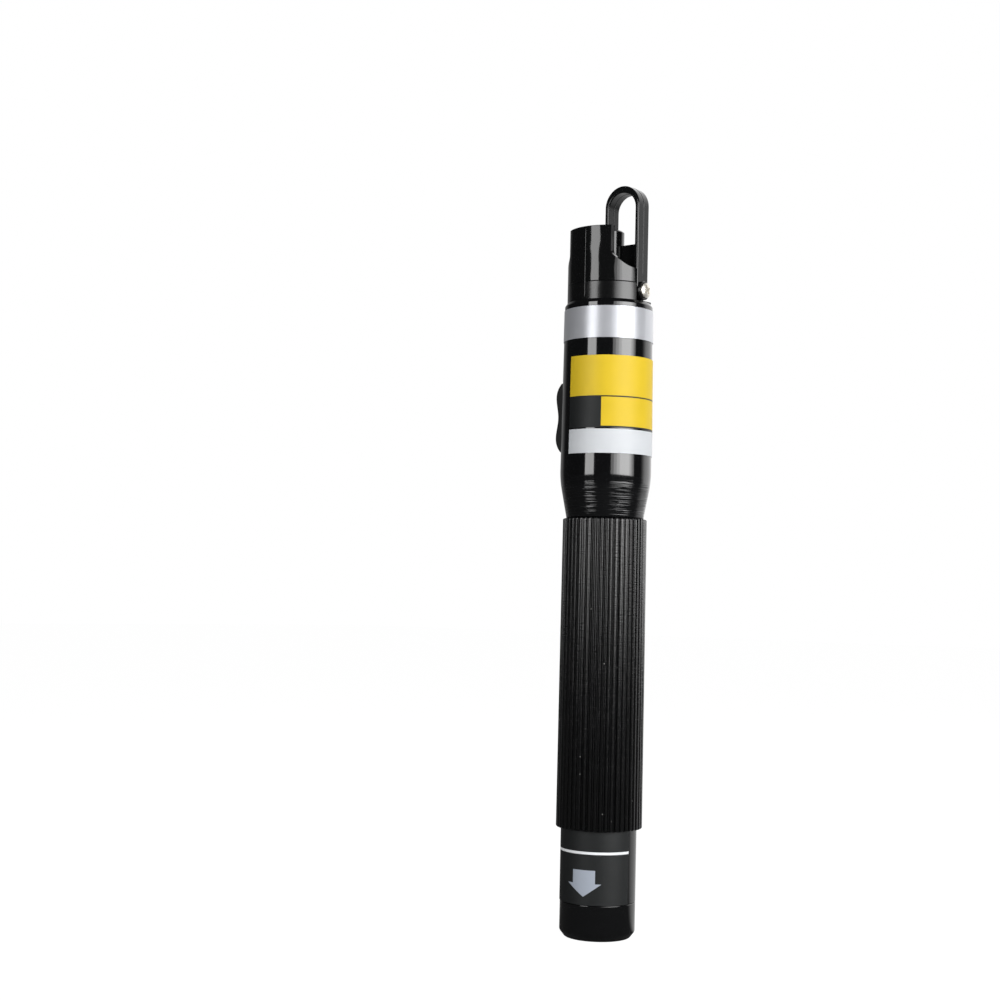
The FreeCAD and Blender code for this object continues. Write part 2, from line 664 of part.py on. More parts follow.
def pivot_screw():
    """The pan-head screw with a cross recess that the flip cap turns on."""
    under = EAR_OUTER + FACE
    top = under + SCREW_HEAD
    body = turned_on_pivot(
        (SEAT_X - BOSS_LENGTH, 0),
        (SEAT_X - BOSS_LENGTH, SCREW_RADIUS),
        (under, SCREW_RADIUS),
        (under, SCREW_HEAD_RADIUS),
        (under + SCREW_HEAD / 2, SCREW_HEAD_RADIUS),
        ((top - 0.12, SCREW_HEAD_RADIUS * 0.72), (top, SCREW_HEAD_RADIUS * 0.35)),
        (top, 0),
    )
    half = RECESS_WIDTH / 2
    reach = SCREW_HEAD_RADIUS * 0.6
    for turn in (35, 125):
        arm = block(top - RECESS_DEPTH, top + 1, -reach, reach, PIVOT_Z - half, PIVOT_Z + half)
        arm.rotate(Vector(0, 0, PIVOT_Z), X_AXIS, turn)
        body = body.cut(arm)
    return body


def label_on(radius_at, bottom, height, start=0.0, width=None):
    """A thin label that follows the surface under it for its width, or all the way round."""
    top = bottom + height
    low, high = radius_at(bottom) + LABEL_SEAT, radius_at(top) + LABEL_SEAT
    wire = wire_through(
        lambda r, z: Vector(r, 0, z),
        (low, bottom),
        [(low + LABEL_THICKNESS, bottom), (high + LABEL_THICKNESS, top), (high, top)],
    )
    span = math.degrees(width / low) if width else 360
    label = Part.Face(wire).revolve(ORIGIN, Z_AXIS, span)
    label.rotate(ORIGIN, Z_AXIS, start)
    return label


def silver_band():
    """The silver foil band at the top of the head, bare of print."""
    return label_on(head_radius, HEAD_TOP - BAND_DROP - BAND_HEIGHT, BAND_HEIGHT)


def front_label():
    """The yellow and black label on the head, bare of print."""
    return label_on(head_radius, HEAD_TOP - PANEL_DROP - PANEL_HEIGHT, PANEL_HEIGHT, LABEL_START, LABEL_WIDTH)


def white_strip():
    """The narrow white label under it, bare of print."""
    return label_on(head_radius, HEAD_TOP - STRIP_DROP - STRIP_HEIGHT, STRIP_HEIGHT, LABEL_START, LABEL_WIDTH)


def tail_label():
    """The dark label round the battery tube between the tail cap and the grip."""
    height = GRIP_BOTTOM - CAP_HEIGHT
    return label_on(lambda z: TUBE_RADIUS, CAP_HEIGHT, height, TAIL_LABEL_START, TAIL_LABEL_WIDTH)


NODES = {
    "barrel": barrel,
    "grip_sleeve": grip_sleeve,
    "tail_cap": tail_cap,
    "tail_seal": tail_seal,
    "tail_contact": tail_contact,
    "tail_spring": tail_spring,
    "rear_cell": lambda: cell(REAR_CELL_BOTTOM),
    "front_cell": lambda: cell(FRONT_CELL_BOTTOM),
    "contact_insulator": contact_insulator,
    "positive_contact": positive_contact,
    "driver_board": driver_board,
    "slide_switch": slide_switch,
    "switch_actuator": switch_actuator,
    "switch_knob": switch_knob,
    "laser_block": laser_block,
    "laser_diode": laser_diode,
    "lens_ring": lens_ring,
    "focus_lens": focus_lens,
    "port_tube": port_tube,
    "ceramic_sleeve": ceramic_sleeve,
    "pivot_collar": pivot_collar,
    "guard_hood": guard_hood,
    "flip_cap": flip_cap,
    "cap_pad": cap_pad,
    "pivot_screw": pivot_screw,
    "silver_band": silver_band,
    "front_label": front_label,
    "white_strip": white_strip,
    "tail_label": tail_label,
}

os.makedirs("parts", exist_ok=True)
for node, make in NODES.items():
    shape = make()
    print(f"{node}: {len(shape.Solids)} solid, {shape.Volume:.2f} mm3, valid {shape.isValid()}")
    shape.exportStep(f"parts/{node}.step")
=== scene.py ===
"""Finishes, fine trim and studio for a pen-shaped visual fault locator, made round its solid pieces.

The pen stands upright on its tail cap, with its axis along Z. The pivot screw and the flip cap's leg are on
the +X side, the switch is on the -X side, and -Y is the front. Lengths are in metres, except in the finishes,
which count in millimetres.
"""

import math

import bpy
import numpy as np
from bpy.props import FloatProperty, FloatVectorProperty, IntProperty, PointerProperty
from mathutils import Matrix, Vector


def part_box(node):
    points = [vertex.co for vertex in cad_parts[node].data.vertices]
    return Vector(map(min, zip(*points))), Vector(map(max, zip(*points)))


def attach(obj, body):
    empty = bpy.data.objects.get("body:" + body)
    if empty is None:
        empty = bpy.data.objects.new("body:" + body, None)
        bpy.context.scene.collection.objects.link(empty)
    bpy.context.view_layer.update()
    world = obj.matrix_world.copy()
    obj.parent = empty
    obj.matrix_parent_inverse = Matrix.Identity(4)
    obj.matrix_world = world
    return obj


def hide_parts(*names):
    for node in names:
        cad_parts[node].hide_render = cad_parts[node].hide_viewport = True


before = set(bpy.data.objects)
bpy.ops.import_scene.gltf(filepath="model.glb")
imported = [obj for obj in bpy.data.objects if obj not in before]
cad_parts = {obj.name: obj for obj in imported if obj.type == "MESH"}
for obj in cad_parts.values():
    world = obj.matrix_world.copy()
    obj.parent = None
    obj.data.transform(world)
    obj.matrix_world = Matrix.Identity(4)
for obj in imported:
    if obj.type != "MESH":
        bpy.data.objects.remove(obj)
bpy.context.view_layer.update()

bl_info = {
    "name": "Fault Locator Pen Finish",
    "version": (1, 0, 0),
    "blender": (4, 5, 0),
    "location": "View3D > Sidebar > Fault Locator",
    "description": "Dresses the fault locator pen and sets up its studio",
    "category": "Object",
}

MM = 0.001

# Lowest and highest corner of the solid pieces that the forms are fitted to
TAIL_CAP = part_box("tail_cap")
TAIL_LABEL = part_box("tail_label")
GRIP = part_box("grip_sleeve")
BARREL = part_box("barrel")
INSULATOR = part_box("contact_insulator")
FRONT_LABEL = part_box("front_label")
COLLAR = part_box("pivot_collar")
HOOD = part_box("guard_hood")
FLIP_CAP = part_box("flip_cap")
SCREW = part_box("pivot_screw")
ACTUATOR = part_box("switch_actuator")

TUBE_RADIUS = TAIL_CAP[1].x
COLLAR_RADIUS = -COLLAR[0].x
CAP_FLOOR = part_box("tail_seal")[0].z
PIVOT_Z = (SCREW[0].z + SCREW[1].z) / 2

# Broken corners of an outline
ROUND_STEPS = 5             # points of the curve that stands for a corner
ROUND_POINTS = ROUND_STEPS + 2  # with the guard point beside each end of the curve
CORNER_SHARE = 0.3          # the curve takes at most this share of the corner's shorter side
GUARD_REACH = 1.5           # the guard points' distance from the corner, over the curve's reach

# Threads
THREAD_ROWS = 12            # rows of points in one pitch of the barrel's thread
VALLEY_LIFT = 1.35          # a valley's depth in its middle before it is cut off flat at 1
FLANK_SLOPE = 4.2           # depth that a valley's flank loses over one pitch

# Barrel
TUBE_WALL = 1.3 * MM
THREAD_STEP = 0.65 * MM     # from the tube's radius in to the thread's crest
THREAD_INSET = 0.3 * MM     # plain stretch at each end of the thread
CONE_STEP = 0.25 * MM       # from the tube's radius out to the cone's foot
CONE_HEIGHT = 11.2 * MM
CONE_ROUND = 4.5 * MM       # height of the round stretch at the cone's top
FLANK_ROWS, ARC_ROWS = 4, 10
HEAD_TAPER = 0.33 * MM      # what the head's radius loses up to its chamfer
HEAD_CHAMFER = 0.8 * MM
BARREL_SEGMENTS = 240

# Slot for the switch in the barrel's wall
SLOT_HALF = 1.05 * MM
SLOT_PLAY = 0.15 * MM
SLOT_OUTSIDE = 1.0 * MM     # how far the cutter stands out of the wall
SLOT_INSIDE = 4.0 * MM      # how deep the cutter goes in
SWITCH_TRAVEL = 4.0 * MM

# Tail cap
CAP_WALL = 0.6 * MM
CAP_CHAMFER = (1.2 * MM, 1.5 * MM)  # width and height
CAP_ROUND = 3               # its edges are this many times as round as the barrel's
CAP_AXIS_RING = 0.02 * MM   # radius of the smallest ring, beside the pole on the axis
CAP_THREAD_SHARE = 0.8      # its thread's depth, over the barrel's
CAP_THREAD_TOP = 0.5 * MM   # from the rim down to the thread
CAP_THREAD_FOOT = 1.2 * MM  # from the inner floor up to the thread
CAP_THREAD_ROWS = 60
CAP_SEGMENTS = 200

# Grip
GRIP_TAPER = 0.2 * MM       # what the radius loses from foot to top
GRIP_ROLL = 0.35 * MM       # radius of the rounded ends
ROLL_ROWS = 5
WALL_ROWS = 24
RIB_SEGMENTS = 16
RIB_WANDER = 0.004          # sideways wander of the ribs round the pen, in radians
WANDER_RISE, WANDER_SWING = 2.1, 3.0  # radians of the wander's wave from foot to top, and round the pen
RIB_LEAN = 0.12             # steepest sideways slope of a rib's crown
LEAN_STEP = 2.4             # radians that are multiplied by a rib's number squared for its slope
RIB_CROWN = 0.025 * MM      # depth of the wave that crowns a rib
FLANK_SHARE = 0.72          # share of a groove's half width that its flank takes

# Strap of the flip cap, and the mould lines
STRAP_THICKNESS = 1.02 * MM
STRAP_CROWN = 1.6 * MM      # the strap's thickness at the loop's top
EAR_HEIGHT = 0.62 * MM      # how far the pivot ear stands out from the leg
STEM_OUTER = -0.13 * MM     # x of the stem's outer face
STEM_LINE_END = 9.7 * MM    # from the loop's top down to the end of the stem's lines
STRAP_LINES = {"outer": (0.0, 3.0 * MM), "inner": (STRAP_THICKNESS, 12.0 * MM)}  # inset, foot over the pivot
LEG_ROWS, ARCH_ROWS, STEM_ROWS, HOOD_ROWS = 20, 40, 12, 30
HOOD_LINE_FOOT = 0.1 * MM   # from the barrel's top up to the line's foot
HOOD_LINE_TOP = 0.15 * MM   # from the hood's top down to the line's top
BEAD_STEPS = 7
BEAD_FOOT = (0.9, 0.6)      # width of a bead's hidden foot, and its depth, over the bead's own
BEAD_TAPER, BEAD_TIP = 2, 0.05  # rows that a bead's end tapers over, and the share of it that is left

# Print on the labels, in millimetres over the floor or across, and in degrees round the pen from +X
PRINT_EDGE = 0.06           # width of a printed field's soft edge
FIELD_SPLIT = 0.44          # share of the front label's height that is under the upper field
FIELD_MARGIN = 0.35         # black margin under the lower field
FIELD_GAP = 0.32            # black line between the two fields
FIELD_TURN = -61.4          # where the lower field begins
LINE_HEIGHT, LINE_HALF = 20.3, 0.3
ARROW_TURN = -76.0          # the arrow's middle
ARROW_TIP, ARROW_NECK, ARROW_TOP = 10.35, 13.3, 16.4
ARROW_HALF, SHAFT_HALF = 4.15, 2.75

# Studio: turns are in degrees round the pen from the camera
SENSOR_WIDTH = 36           # millimetres
SOFTBOX_DISTANCE = 0.6
SOFTBOX_FOOT = 0.088
RIGHT_SPANS = (62, 50, 38, 26)  # in degrees: the right softbox is four in one place, so its edges fade
RIGHT_TURN, RIGHT_SPREAD = 43.0, 1.5  # turn of the first of the four, and from each to the next
RIGHT_LIFT = 0.001          # each of the four begins this much higher than the last
RIGHT_TOP = 0.42
LEFT_TOP, LEFT_TURN, LEFT_SPAN = 0.40, -42.0, 23.0
FLOOR_HALF = 3.0
FLOOR_GLOW = 1.19           # strength of the glow that the camera sees on the floor
GLOW_SEEN, GLOW_MIRRORED = 0.82, 0.93  # share of the glow for the camera and in reflections, over the paper
FLOOR_SHARE = 0.5           # what the floor has of the background's brightness in reflections
FLOOR_DIM, ROOM_DIM = 0.04, 0.03  # brightness of floor and room in front of the pen, in reflections
BACK_TURN, SIDE_TURN = 165.0, 90.0  # middle of the bright background, and of its right half
BACK_EDGE, SIDE_EDGE = (0.37, 0.70), (-0.2, 0.2)  # cosines from those middles that the edges fade between


# ---------------- sizes and colours a user would change

class PenSizes(bpy.types.PropertyGroup):
    """Sizes of the fine forms that are added to the solid pieces."""

    edge_round: FloatProperty(
        name="Edge Round", description="Radius of the broken edges on turned pieces",
        default=0.12 * MM, min=0.01 * MM, max=0.4 * MM, unit="LENGTH")
    thread_pitch: FloatProperty(
        name="Thread Pitch", description="Distance between the turns of the thread on barrel and tail cap",
        default=1.0 * MM, min=0.4 * MM, max=2.0 * MM, unit="LENGTH")
    thread_depth: FloatProperty(
        name="Thread Depth", description="Depth of the thread on the barrel",
        default=0.32 * MM, min=0.05 * MM, max=0.4 * MM, unit="LENGTH")
    rib_count: IntProperty(
        name="Grip Ribs", description="Number of ribs round the rubber grip", default=48, min=8, max=90)
    groove_half: FloatProperty(
        name="Groove Half Width", description="Distance from the middle of a groove in the grip to its edge",
        default=0.44 * MM, min=0.1 * MM, max=1.0 * MM, unit="LENGTH")
    groove_depth: FloatProperty(
        name="Groove Depth", description="Depth of the grooves in the grip",
        default=0.45 * MM, min=0.1 * MM, max=0.9 * MM, unit="LENGTH")
    seam_width: FloatProperty(
        name="Seam Width", description="Width of the mould lines on the hood and the flip cap",
        default=0.3 * MM, min=0.1 * MM, max=0.8 * MM, unit="LENGTH")
    seam_height: FloatProperty(
        name="Seam Height", description="How far a mould line stands out",
        default=0.05 * MM, min=0.01 * MM, max=0.2 * MM, unit="LENGTH")


class PenColours(bpy.types.PropertyGroup):
    """Colours of the pen's finishes."""

    anodised: FloatVectorProperty(
        name="Anodised Black", description="Colour of the barrel and tail cap",
        subtype="COLOR", size=3, min=0, max=1, default=(0.0032, 0.0034, 0.0038))
    rubber: FloatVectorProperty(
        name="Grip Rubber", description="Colour of the ribbed grip",
        subtype="COLOR", size=3, min=0, max=1, default=(0.0030, 0.0032, 0.0034))
    moulding: FloatVectorProperty(
        name="Black Mouldings", description="Colour of the collar, hood, flip cap and knob",
        subtype="COLOR", size=3, min=0, max=1, default=(0.0038, 0.0040, 0.0042))
    yellow: FloatVectorProperty(
        name="Label Yellow", description="Colour of the yellow fields on the front label",
        subtype="COLOR", size=3, min=0, max=1, default=(0.68, 0.475, 0.016))
    label_black: FloatVectorProperty(
        name="Label Black", description="Colour of the black fields on the front and tail labels",
        subtype="COLOR", size=3, min=0, max=1, default=(0.012, 0.0135, 0.014))
    white: FloatVectorProperty(
        name="Label White", description="Colour of the white strip",
        subtype="COLOR", size=3, min=0, max=1, default=(0.60, 0.62, 0.645))
    foil: FloatVectorProperty(
        name="Silver Foil", description="Colour of the silver band",
        subtype="COLOR", size=3, min=0, max=1, default=(0.47, 0.48, 0.51))
    arrow: FloatVectorProperty(
        name="Arrow Grey", description="Colour of the arrow on the tail label",
        subtype="COLOR", size=3, min=0, max=1, default=(0.38, 0.42, 0.49))


class PenStudio(bpy.types.PropertyGroup):
    """Camera and lights."""

    azimuth: FloatProperty(
        name="Camera Azimuth", description="Direction the camera stands in, from the front towards the screw",
        default=math.radians(36), subtype="ANGLE")
    height: FloatProperty(
        name="Camera Height", description="Height of the camera above the floor",
        default=78 * MM, min=0, max=1, unit="LENGTH")
    distance: FloatProperty(
        name="Camera Distance", description="Level distance from the pen's axis to the camera",
        default=400 * MM, min=0.1, max=2, unit="LENGTH")
    aim_height: FloatProperty(
        name="Aim Height", description="Height of the picture's centre at the pen's axis",
        default=94.3 * MM, min=0, max=0.4, unit="LENGTH")
    aim_left: FloatProperty(
        name="Aim Left", description="Distance of the picture's centre to the left of the pen's axis",
        default=24.7 * MM, min=-0.1, max=0.1, unit="LENGTH")
    roll: FloatProperty(
        name="Camera Roll", description="Turn of the camera about its line of sight",
        default=math.radians(1.27), subtype="ANGLE")
    lens: FloatProperty(
        name="Focal Length", description="The camera's focal length in millimetres",
        default=61.06, min=20, max=200, subtype="DISTANCE_CAMERA")
    key_light: FloatProperty(
        name="Right Softbox", description="Brightness of the broad softbox to the right of the camera",
        default=8.6, min=0, max=40)
    side_light: FloatProperty(
        name="Left Softbox", description="Brightness of the narrow softbox to the left of the camera",
        default=5.9, min=0, max=40)
    fill: FloatProperty(
        name="Room Fill", description="Brightness of the room around the pen", default=0.10, min=0, max=2)
    back_right: FloatProperty(
        name="Right Background", description="Brightness of the room behind the pen and to its right",
        default=1.5, min=0, max=10)
    back_left: FloatProperty(
        name="Left Background", description="Brightness of the room behind the pen and to its left",
        default=0.25, min=0, max=10)
    shift: FloatProperty(
        name="Camera Shift", description="Upward shift of the picture, as a share of its width", default=0.03,
        min=-0.2, max=0.2)


# ---------------- surfaces

def rounded_outline(corners, radius):
    """A closed outline of radius and height rows with every corner broken by a small curve.

    Each corner is left out, and a curve runs from a point short of it to a point past it: the quadratic
    blend of the first point, the corner and the last point. A guard point lies beside each end of the curve,
    so that the flats next to it stay flat in the shading.
    """
    corners = np.asarray(corners, float)
    before = np.roll(corners, 1, axis=0) - corners
    after = np.roll(corners, -1, axis=0) - corners
    length_before = np.linalg.norm(before, axis=1, keepdims=True)
    length_after = np.linalg.norm(after, axis=1, keepdims=True)
    reach = np.minimum(radius, CORNER_SHARE * np.minimum(length_before, length_after))
    back = before / length_before * reach
    onward = after / length_after * reach
    blend = np.linspace(0, 1, ROUND_STEPS)[None, :, None]
    curve = ((1 - blend) ** 2 * (corners + back)[:, None]
             + 2 * blend * (1 - blend) * corners[:, None]
             + blend ** 2 * (corners + onward)[:, None])
    guard_start = (corners + GUARD_REACH * back)[:, None]
    guard_end = (corners + GUARD_REACH * onward)[:, None]
    return np.concatenate([guard_start, curve, guard_end], axis=1).reshape(-1, 2)


def full_turn(count):
    """Evenly spaced angles round a full circle, from +X."""
    return np.linspace(0, 2 * np.pi, count, endpoint=False)


def turned(radius, height, angle):
    """Points round the Z axis: x is radius times cosine, y radius times sine of the angle, z the height."""
    return np.stack(np.broadcast_arrays(radius * np.cos(angle), radius * np.sin(angle), height), axis=-1)


def with_wall(outline, place, radius, heights):
    """The outline with a fine upright wall, for a thread, put in after so many of its points."""
    wall = np.stack([np.full(len(heights), radius), heights], axis=1)
    return np.concatenate([outline[:place], wall, outline[place:]])


def cut_thread(points, low, high, pitch, depth):
    """Cuts a right-hand thread between two heights: outwards, or inwards where the depth is below 0.

    The valley's middle lies where the height in pitches, less the turns round the axis, is a whole number
    and a half, so it climbs by one pitch in a turn. The depth is the same across the valley's floor, falls to
    nothing along straight flanks, and fades out over half a pitch at both ends of the thread.
    """
    x, y, height = np.moveaxis(points, -1, 0)
    phase = (height / pitch - np.arctan2(y, x) / (2 * np.pi)) % 1.0
    valley = np.clip(VALLEY_LIFT - FLANK_SLOPE * np.abs(phase - 0.5), 0, 1)
    fade = np.clip((height - low) / (0.5 * pitch), 0, 1) * np.clip((high - height) / (0.5 * pitch), 0, 1)
    scale = 1 + depth * valley * fade / np.hypot(x, y)
    return points * np.stack([scale, scale, np.ones_like(scale)], axis=-1)


def grid_faces(rows, columns, close_rows=True):
    """Faces of a grid whose rows are closed rings. If close_rows, the last row is joined to the first."""
    row = np.arange(rows if close_rows else rows - 1)
    row, column = np.meshgrid(row, np.arange(columns), indexing="ij")
    next_row, next_column = (row + 1) % rows, (column + 1) % columns
    corners = [row * columns + column, row * columns + next_column,
               next_row * columns + next_column, next_row * columns + column]
    return np.stack(corners, axis=-1).reshape(-1, 4)


def fan_faces(ring, pole):
    """Triangles that join a ring of points to a pole."""
    return np.stack([np.full(len(ring), pole), ring, np.roll(ring, -1)], axis=1)


def add_object(name, data):
    """Puts a mesh, lamp or camera into the scene."""
    added = bpy.data.objects.new(name, data)
    bpy.context.scene.collection.objects.link(added)
    return added


def add_piece(name, points, faces, slot, body, replaces=()):
    """A smooth piece from points and groups of faces, riding on a body. Its slot names its finish too."""
    corner_counts = np.concatenate([np.full(len(group), group.shape[1]) for group in faces])
    loops = np.concatenate([group.ravel() for group in faces]).astype(np.int32)
    mesh = bpy.data.meshes.new(name)
    mesh.vertices.add(len(points))
    mesh.vertices.foreach_set("co", np.asarray(points, np.float32).ravel())
    mesh.loops.add(len(loops))
    mesh.loops.foreach_set("vertex_index", loops)
    mesh.polygons.add(len(corner_counts))
    starts = np.concatenate([[0], np.cumsum(corner_counts)[:-1]]).astype(np.int32)
    mesh.polygons.foreach_set("loop_start", starts)
    mesh.polygons.foreach_set("use_smooth", np.ones(len(corner_counts), bool))
    mesh.update(calc_edges=True)
    mesh.validate()
    mesh.materials.append(finish_named(slot))
    piece = add_object(name, mesh)
    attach(piece, body)
    if replaces:
        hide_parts(*replaces)
    return piece


# ---------------- shader maths

class Value:
    """A number that changes over a surface. Arithmetic on it adds Math nodes to its tree."""

    def __init__(self, nodes, socket):
        self.nodes = nodes
        self.socket = socket

    def output(self, name):
        """Another output of the same node."""
        return Value(self.nodes, self.socket.node.outputs[name])

    def math(self, operation, *others):
        """The result of a Math node's operation on this value and the others."""
        return self.nodes.node("ShaderNodeMath", {"operation": operation}, dict(enumerate((self, *others))))

    def __add__(self, other):
        return self.math("ADD", other)

    def __mul__(self, other):
        return self.math("MULTIPLY", other)

    __radd__ = __add__
    __rmul__ = __mul__

    def __sub__(self, other):
        return self.math("SUBTRACT", other)

    def __rsub__(self, other):
        return self * -1 + other

    def __abs__(self):
        return self.math("ABSOLUTE")

    def rise(self, start, end):
        """0 below start and 1 above end, with a smooth step between them."""
        inputs = {"Value": self, "From Min": start, "From Max": end}
        return self.nodes.node("ShaderNodeMapRange", {"interpolation_type": "SMOOTHSTEP"}, inputs)

    def between(self, low, high, soft):
        """1 from low to high and 0 outside, with soft edges of the given width."""
        return self.rise(low - soft / 2, low + soft / 2) * (1 - self.rise(high - soft / 2, high + soft / 2))


class Nodes:
    """A node tree, and the one way that its nodes are made."""

    def __init__(self, tree):
        self.tree = tree

    def node(self, kind, settings=None, inputs=None, output=0):
        """Adds one node: its settings first, then the values or links of its sockets. Returns one output."""
        node = self.tree.nodes.new(kind)
        for name, setting in (settings or {}).items():
            setattr(node, name, setting)
        for name, value in (inputs or {}).items():
            self.feed(node.inputs[name], value)
        return Value(self, node.outputs[output])

    def feed(self, socket, value):
        """Links a value to a socket, or sets the socket to a plain number, vector or colour."""
        if isinstance(value, Value):
            self.tree.links.new(value.socket, socket)
        elif hasattr(value, "__len__"):
            socket.default_value = value[:len(socket.default_value)]
        else:
            socket.default_value = value

    def vector(self, operation, inputs, output="Vector"):
        """The result of a Vector Math node."""
        return self.node("ShaderNodeVectorMath", {"operation": operation}, inputs, output)

    def ray_kinds(self):
        """Two values: 1 where the camera sees the surface itself, and 1 in reflections and through glass."""
        seen = self.node("ShaderNodeLightPath", output="Is Camera Ray")
        mirrored = seen.output("Is Glossy Ray").math("MAXIMUM", seen.output("Is Transmission Ray"))
        return seen, mirrored


class Finish(Nodes):
    """A material whose textures lie in the piece's own coordinates, in millimetres."""

    def __init__(self, name, colour, roughness, **more):
        """Starts from one colour and roughness. More names other sockets of the shader, such as ior=1.5."""
        self.material = bpy.data.materials.new(f"{name}_finish")
        self.material.use_nodes = True
        super().__init__(self.material.node_tree)
        self.colour = (*tuple(colour)[:3], 1)
        self.material.diffuse_color = self.colour
        self.shader = self.tree.nodes["Principled BSDF"]
        for socket, value in {"base_color": self.colour, "roughness": roughness, **more}.items():
            title = socket.replace("_", " ").title().replace("Ior", "IOR")
            self.feed(self.shader.inputs[title], value)
        own_place = self.node("ShaderNodeTexCoord", output="Object")
        self.place = self.vector("SCALE", {0: own_place, "Scale": 1 / MM})
        self.normal = None

    def axis(self, letter):
        """The X, Y or Z coordinate in millimetres."""
        return self.node("ShaderNodeSeparateXYZ", inputs={0: self.place}, output=letter)

    def turn(self):
        """The angle round the pen's axis from +X, in degrees, from -180 to 180."""
        return self.axis("Y").math("ARCTAN2", self.axis("X")) * math.degrees(1)

    def scaled(self, factors):
        """The place with each coordinate multiplied by its own factor."""
        return self.vector("MULTIPLY", {0: self.place, 1: factors})

    def noise(self, size, detail=2.0, stretch=(1, 1, 1)):
        """Noise from 0 to 1 with grains of the given size in millimetres, longer along an axis by stretch."""
        vector = self.scaled(tuple(1 / (size * factor) for factor in stretch))
        return self.node("ShaderNodeTexNoise", inputs={"Vector": vector, "Scale": 1.0, "Detail": detail})

    def specks(self, size, share):
        """Sparse round specks, 1 inside and 0 outside, one in the given share of cells of the given size."""
        inputs = {"Vector": self.scaled((1 / size,) * 3), "Scale": 1.0}
        distance = self.node("ShaderNodeTexVoronoi", inputs=inputs, output="Distance")
        chance = self.node("ShaderNodeSeparateColor", inputs={0: distance.output("Color")})
        return (1 - distance.rise(0.04, 0.10)) * chance.rise(1 - share, 1 - share * 0.8)

    def base(self):
        """The base colour so far, as a value or as a plain colour."""
        links = self.shader.inputs["Base Color"].links
        return Value(self, links[0].from_socket) if links else self.colour

    def paint(self, mask, colour):
        """Lays a colour over the base colour where the mask is 1."""
        inputs = {0: mask, 6: self.base(), 7: (*tuple(colour)[:3], 1)}      # 6 and 7 are the two colours
        mixed = self.node("ShaderNodeMix", {"data_type": "RGBA"}, inputs, output=2)
        self.feed(self.shader.inputs["Base Color"], mixed)

    def shade(self, amount, noise):
        """Varies the base colour's brightness by the given share with a noise."""
        level = noise * (2 * amount) + (1 - amount)
        self.feed(self.shader.inputs["Base Color"], self.vector("SCALE", {0: self.base(), "Scale": level}))

    def rough(self, value):
        """Roughness that changes over the surface."""
        self.feed(self.shader.inputs["Roughness"], value)

    def relief(self, height, depth):
        """Adds relief: a height from 0 to 1 stands for the given depth in millimetres."""
        inputs = {"Height": height, "Strength": 1.0, "Distance": depth * MM}
        if self.normal is not None:
            inputs["Normal"] = self.normal
        self.normal = self.node("ShaderNodeBump", inputs=inputs)
        self.feed(self.shader.inputs["Normal"], self.normal)


# ---------------- finishes

def sizes():
    """The scene's sizes of the fine forms."""
    return bpy.context.scene.pen_sizes


def colours():
    """The scene's colours of the finishes."""
    return bpy.context.scene.pen_colours


def anodised_finish(name):
    """Black anodised aluminium: glossy on the head, with turning marks that stand out on the cone."""
    finish = Finish(name, colours().anodised, 0.17, ior=1.62)
    cone_foot, smooth_top = GRIP[1].z / MM, 3.3
    cone = finish.axis("Z").between(cone_foot, cone_foot + CONE_HEIGHT / MM - smooth_top, soft=2.4)
    marks = finish.noise(0.3, stretch=(60, 60, 1))
    fine = finish.noise(0.16, stretch=(40, 40, 1))
    cloud = finish.noise(9.0, detail=3.0)
    finish.rough(0.06 + cloud * 0.03 + cone * 0.03)
    finish.relief(marks * (0.001 + cone), depth=0.105)
    finish.relief(fine * (0.006 + cone), depth=0.018)
    return finish.material


def rubber_finish(name):
    """Matt black rubber with a fine grain and a little dust."""
    finish = Finish(name, colours().rubber, 0.5, ior=1.5)
    grain = finish.noise(0.22, detail=4.0)
    cloud = finish.noise(7.0, detail=3.0)
    finish.shade(0.22, cloud)
    finish.paint(finish.specks(size=1.6, share=0.10), (0.35, 0.35, 0.33))
    finish.rough(0.11 + cloud * 0.06 + grain * 0.03)
    finish.relief(finish.noise(0.2, stretch=(9, 9, 1)), depth=0.022)
    finish.relief(grain, depth=0.002)
    return finish.material


def moulded_finish(name, roughness, grain_depth, ripple=0.0):
    """Black moulded plastic with a fine grain and, on a thin wall, the slow ripple of the moulding."""
    finish = Finish(name, colours().moulding, roughness, ior=1.5)
    grain = finish.noise(0.18, detail=3.0)
    cloud = finish.noise(6.0, detail=3.0)
    finish.rough(roughness * 0.8 + cloud * roughness * 0.4)
    finish.relief(grain, grain_depth)
    if ripple:
        finish.relief(finish.noise(4.0, detail=1.0, stretch=(1, 1, 1.5)), ripple)
    return finish.material


def foil_finish(name):
    """Satin silver foil with faint rolling lines round it."""
    finish = Finish(name, colours().foil, 0.3, metallic=0.34)
    lines = finish.noise(0.3, detail=3.0, stretch=(30, 30, 1))
    cloud = finish.noise(5.0, detail=3.0)
    finish.shade(0.05, cloud)
    finish.rough(0.26 + cloud * 0.08 + lines * 0.05)
    finish.relief(lines, depth=0.002)
    finish.relief(finish.noise(3.0), depth=0.004)
    return finish.material


def film_texture(finish):
    """Printed film: a slightly uneven gloss and the orange peel of the adhesive under it."""
    cloud = finish.noise(4.0, detail=3.0)
    finish.shade(0.035, cloud)
    finish.rough(0.44 + cloud * 0.12)
    finish.relief(finish.noise(1.1), depth=0.004)


